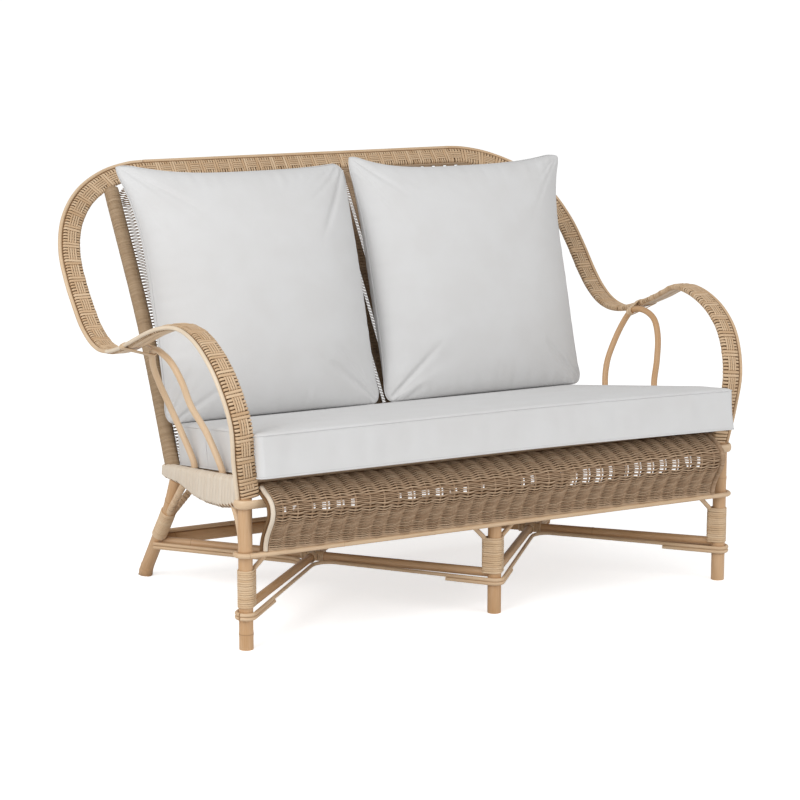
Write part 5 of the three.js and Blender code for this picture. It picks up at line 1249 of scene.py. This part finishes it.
def pillow_points(centre, count, depth_front, depth_rear, seed, ears):
    """Front and rear of a pillow on a grid that is finer towards the seam, with puckers and corner folds."""
    even = np.linspace(-1, 1, count + 1)
    spread = 0.35 * even + 0.65 * np.sin(even * math.pi / 2)
    a, b = np.meshgrid(spread, spread)
    half_wide, half_high = PILLOW_WIDE / 2, PILLOW_HIGH / 2
    belly = np.clip((1 - a**2) * (1 - b**2), 0, 1) ** 0.42
    corner = 0.16
    u, v = (np.clip((np.abs(line) - 1 + corner) / corner, 0, 1) for line in (a, b))
    round_a = a + np.sign(a) * corner * u * (np.sqrt(1 - v**2 / 2) - 1)
    round_b = b + np.sign(b) * corner * v * (np.sqrt(1 - u**2 / 2) - 1)
    across = round_a * (half_wide - 15 * (1 - b**4) * np.abs(a) ** 3)
    up = (round_b + 1) * half_high - 34 * np.clip(b, 0, 1) ** 2 * (1 - a**4)
    side_gap, end_gap = (1 - np.abs(a)) * half_wide, (1 - np.abs(b)) * half_high
    pucker = sum(ripples(run, seed + number) * np.exp(-gap / 26) * (1 - np.exp(-gap / 5)) * strength
                 for number, (run, gap, strength) in enumerate((
                     (a * half_wide, end_gap, 1.9), (b * half_high, side_gap, 1.3))))
    chance = np.random.default_rng(seed + 50)
    folds = np.zeros_like(a)
    for sign_a in (-1, 1):
        for sign_b in (-1, 1):
            from_a, from_b = half_wide * (1 - sign_a * a), half_high * (1 - sign_b * b)
            far, turn = np.hypot(from_a, from_b), np.arctan2(from_b, from_a)
            for middle in chance.uniform(0.25, 1.3, 4):
                depth, narrow, length = (chance.uniform(*span) for span in ((2.5, 5.5), (0.05, 0.11), (55, 120)))
                fan = depth * np.exp(-((turn - middle) / narrow) ** 2) * (far / 30) * np.exp(1 - far / length)
                folds += fan / (6.5 if sign_b > 0 else 11)
    soft = np.clip(belly * 3, 0, 1)
    near_top = np.clip(b, 0, 1) ** 3
    up += ears[2] * np.clip(b, 0, 1) ** 2 * (1 - a**4)
    back = np.zeros_like(a)
    for sign_a, (reach_out, lift, push) in zip((-1, 1), ears[:2]):
        near = near_top * np.clip(sign_a * a, 0, 1) ** 3
        across += sign_a * reach_out * near
        up += lift * near
        back += push * near
    middle = back_foot_point + np.array([centre, 0, 0])
    flat = (middle - back[..., None] * back_forward + across[..., None] * np.array([1, 0, 0])
            + up[..., None] * back_along)
    front = belly * depth_front + (pucker - folds) * soft
    rear = belly * depth_rear + pucker * soft
    return flat + front[..., None] * back_forward, flat - rear[..., None] * back_forward


def keep_off(points, plane_point, plane_normal, sunk=0.0):
    """Points that have passed a plane are laid on it; the plane may lie deeper by a length at each point."""
    depth = (points - plane_point) @ plane_normal + sunk
    soft = np.where(depth > 6, depth, np.where(depth < -6, 0, (depth + 6) ** 2 / 24))
    return points + (soft - depth)[:, None] * plane_normal


for name, sign, seed in (("left", -1, 5), ("right", 1, 23)):
    count = 96
    front, rear = pillow_points(sign * (PILLOW_WIDE + CUSHION_GAP) / 2, count, FRONT_DEPTH * 0.92,
                                REAR_DEPTH * 0.9, seed, EARS[name])
    points, faces, edge = two_sheets(count, count, front, rear)
    piece = new_cushion("pillow_" + name, to_frame(points), faces)
    blow_up(piece, 0.024, edge)
    co = np.array([v.co for v in piece.data.vertices])
    drawn = (co - np.array([0, leg_line, 0])) / MM
    inset = np.clip(PILLOW_FOOT_BACK - drawn[:, 1], 0, None)
    drawn = keep_off(drawn, seat_plane, seat_square, CROWN * (1 - np.interp(inset, CROWN_INSETS, CROWN_SHARES)))
    drawn = keep_off(drawn, panel_plane, panel_out)
    drawn[:, 0] = np.where(sign * drawn[:, 0] < CUSHION_GAP / 2, sign * CUSHION_GAP / 2, drawn[:, 0])
    piece.data.vertices.foreach_set("co", to_frame(drawn).ravel())
    piece.data.update()
    finish_cushion(piece, "back_cushion_" + name)
    seam_line = drawn[edge + edge[:2]]
    seam = pole("pillow_seam_" + name, [seam_line], 1.1, "cushion_cloth", cloth_finish, sides=6, rise=0.0, step=5)
    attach(seam, "back_cushion_" + name)
    print("pillow", name, "points", len(points))

# %% Seat cushion
SEAT_HALF, SEAT_REAR_HALF, SEAT_LIP, OVERHANG, LIP_REAR, SEAT_REAR, CORNER = 545, 503, 567, 57, 29, 494, 11


def seat_half_width(y):
    """Half the cushion's width at a distance behind the front legs."""
    wedge = (SEAT_HALF - SEAT_REAR_HALF) / (SEAT_REAR + OVERHANG)
    body = SEAT_HALF - wedge * (y + LIP_REAR)
    lip = 1 / (1 + np.exp((y + LIP_REAR - 11) / 4.0))
    return body + (SEAT_LIP - body) * lip


def seat_outline(count):
    """Points round the seat cushion seen from above."""
    points = []
    turn = np.linspace(0, 1, 7) * math.pi / 2
    rows = np.concatenate([-OVERHANG + CORNER * (1 - np.cos(turn)),
                           np.linspace(CORNER + 2 - OVERHANG, SEAT_REAR - CORNER - 2, count),
                           SEAT_REAR - CORNER * (1 - np.sin(turn))])
    for y in rows:
        edge_in = 0.0
        for limit, sign in ((-OVERHANG, 1), (SEAT_REAR, -1)):
            reach = CORNER - sign * (y - limit)
            if reach > 0:
                edge_in = CORNER - math.sqrt(max(CORNER**2 - reach**2, 0))
        points.append((float(seat_half_width(y)) - edge_in, y))
    front = [(x, -OVERHANG) for x in np.linspace(0, points[0][0], 46)[:-1]]
    back = [(x, SEAT_REAR) for x in np.linspace(points[-1][0], 0, 42)[1:]]
    right = front + points + back
    return np.array(right + [(-x, y) for x, y in right[1:-1][::-1]])


outline = seat_outline(44)
middle_y = (SEAT_REAR - OVERHANG) / 2
levels = [(250, 0, 0), (120, 0, 0), (60, 0, 0), (24, 0, 0), (9, 0, 0), (3, 0.008, 0), (0.6, 0.03, 0),
          (0, 0.07, 0)]
levels += [(1.2 * math.sin(math.pi * s), 0.07 + 0.84 * s, 0) for s in np.linspace(0.08, 0.92, 10)]
levels += [(0, 0.93, 0), (0.7, 0.965, 0), (3, 0.99, 0), (8, 1, 0.02), (18, 1, 0.1), (50, 1, 0.32), (80, 1, 0.5),
           (120, 1, 0.7), (160, 1, 0.84), (200, 1, 0.94), (235, 1, 0.99), (262, 1, 1)]
waves = ripples(walk(outline), 77, longest=160, shortest=30)
in_lip = 1 / (1 + np.exp((outline[:, 1] + LIP_REAR - 11) / 4.0))
outline[:, 0] += in_lip * (5 + 5 * outline[:, 0] / SEAT_LIP)  # the lip has slipped a little to the right
droop = 8 * in_lip * np.clip(outline[:, 0] / SEAT_LIP, 0, 1) ** 1.5
rings = []
for inset, side_share, crown in levels:
    inset = inset + 0.9 * waves * math.sin(math.pi * side_share)
    x = outline[:, 0] * (1 - inset / SEAT_LIP)
    y = middle_y + (outline[:, 1] - middle_y) * (1 - inset / ((SEAT_REAR + OVERHANG) / 2))
    lift = GAP + side_share * (SEAT_THICK - CROWN) + crown * CROWN
    fallen = droop * np.clip(1 - inset / 60, 0, 1)
    rings.append(np.stack([x, y, deck_top(y) - fallen], axis=1) + seat_square * lift)
points = np.vstack(rings)
size = len(outline)
faces = [(r * size + i, r * size + (i + 1) % size, (r + 1) * size + (i + 1) % size, (r + 1) * size + i)
         for r in range(len(rings) - 1) for i in range(size)]
half = size // 2
for ring_start, flip in ((0, True), ((len(rings) - 1) * size, False)):
    for i in range(half):
        quad = [ring_start + k for k in (i, i + 1, (size - i - 1) % size, (size - i) % size)]
        quad = [v for k, v in enumerate(quad) if v not in quad[:k]]
        if len(quad) > 2:
            faces.append(quad[::-1] if flip else quad)
piece = new_cushion("seat_pad", to_frame(points), faces)
finish_cushion(piece, "seat_cushion")


def seat_edge(share):
    """The line round the seat cushion at a share of its height."""
    lift = GAP + share * (SEAT_THICK - CROWN)
    return np.column_stack([outline, deck_top(outline[:, 1]) - droop]) + seat_square * lift


welts = [seat_edge(share)[list(range(size)) + [0, 1]] for share in (0.03, 0.955)]
for y in (160.0, 310.0):
    for sign in (-1, 1):
        foot = np.array([sign * (float(seat_half_width(y)) - 0.3), y, deck_top(y)])
        welts.append(np.array([foot + seat_square * (GAP + share * (SEAT_THICK - CROWN))
                               for share in (0.06, 0.92)]))
seam = pole("seat_welts", welts, 1.5, "cushion_cloth", cloth_finish, sides=6, rise=0.0, step=6)
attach(seam, "seat_cushion")

# %% [markdown]
# ## Studio
# A pale floor with no horizon, a bright sky all round and one large soft lamp from the upper left, as in a
# catalogue. The camera stands where the photographer stood.

# %% Floor, light and camera
floor_mesh = bpy.data.meshes.new("floor")
reach = 60
floor_mesh.from_pydata([(-reach, -reach, 0), (reach, -reach, 0), (reach, reach, 0), (-reach, reach, 0)], [],
                       [(0, 1, 2, 3)])
floor = bpy.data.objects.new("floor", floor_mesh)
scene.collection.objects.link(floor)
floor_finish, tree, shader = new_material("pale_studio_floor")
shader.inputs["Base Color"].default_value = (0.86, 0.86, 0.86, 1)
shader.inputs["Roughness"].default_value = 0.9
seen = add(tree, "ShaderNodeLightPath", out="Is Camera Ray")
glow = add(tree, "ShaderNodeEmission", Color=(1, 1, 1, 1), Strength=math_node(tree, "MULTIPLY", seen, 0.6))
both = add(tree, "ShaderNodeAddShader", shader.outputs[0], glow)
tree.links.new(both, tree.nodes["Material Output"].inputs["Surface"])
floor_mesh.materials.append(floor_finish)

world = bpy.data.worlds.new("studio")
scene.world = world
world.use_nodes = True
tree = world.node_tree
background = tree.nodes["Background"]
seen, passed = (add(tree, "ShaderNodeLightPath", out=label) for label in ("Is Camera Ray", "Is Transmission Ray"))
direct = math_node(tree, "MAXIMUM", seen, passed)
strength = add(tree, "ShaderNodeMapRange", direct, 0.0, 1.0, 0.52, 1.0)
background.inputs["Color"].default_value = (1, 1, 1, 1)
tree.links.new(strength, background.inputs["Strength"])


def lamp(name, place, target, width, power):
    """A square soft lamp that looks at its target."""
    data = bpy.data.lights.new(name, "AREA")
    data.shape, data.size, data.energy = "SQUARE", width, power
    made = bpy.data.objects.new(name, data)
    made.location = place
    made.rotation_mode = "QUATERNION"
    made.rotation_quaternion = (Vector(target) - Vector(place)).to_track_quat("-Z", "Y")
    scene.collection.objects.link(made)


lamp("key", (-3.2, -1.6, 3.0), (0, 0, 0.5), 2.6, 92)
lamp("fill", (2.2, -4.2, 2.2), (0, 0, 0.4), 3.0, 60)

camera_data = bpy.data.cameras.new("camera")
camera_data.sensor_width = 36
camera_data.lens = 111.35  # its place, direction and lens come from the fit to the photograph
camera = bpy.data.objects.new("camera", camera_data)
azimuth, elevation = math.radians(-28.617), math.radians(10.555)
back = Vector((math.sin(azimuth) * math.cos(elevation), -math.cos(azimuth) * math.cos(elevation),
               math.sin(elevation)))
camera.location = (-2.602, -4.7797, 1.401)
camera.rotation_mode = "QUATERNION"
camera.rotation_quaternion = (-back).to_track_quat("-Z", "Y")
scene.collection.objects.link(camera)
scene.camera = camera
scene.view_settings.view_transform = "Standard"

print("triangles", sum(triangles.values()), sorted(triangles.items(), key=lambda item: -item[1])[:6])
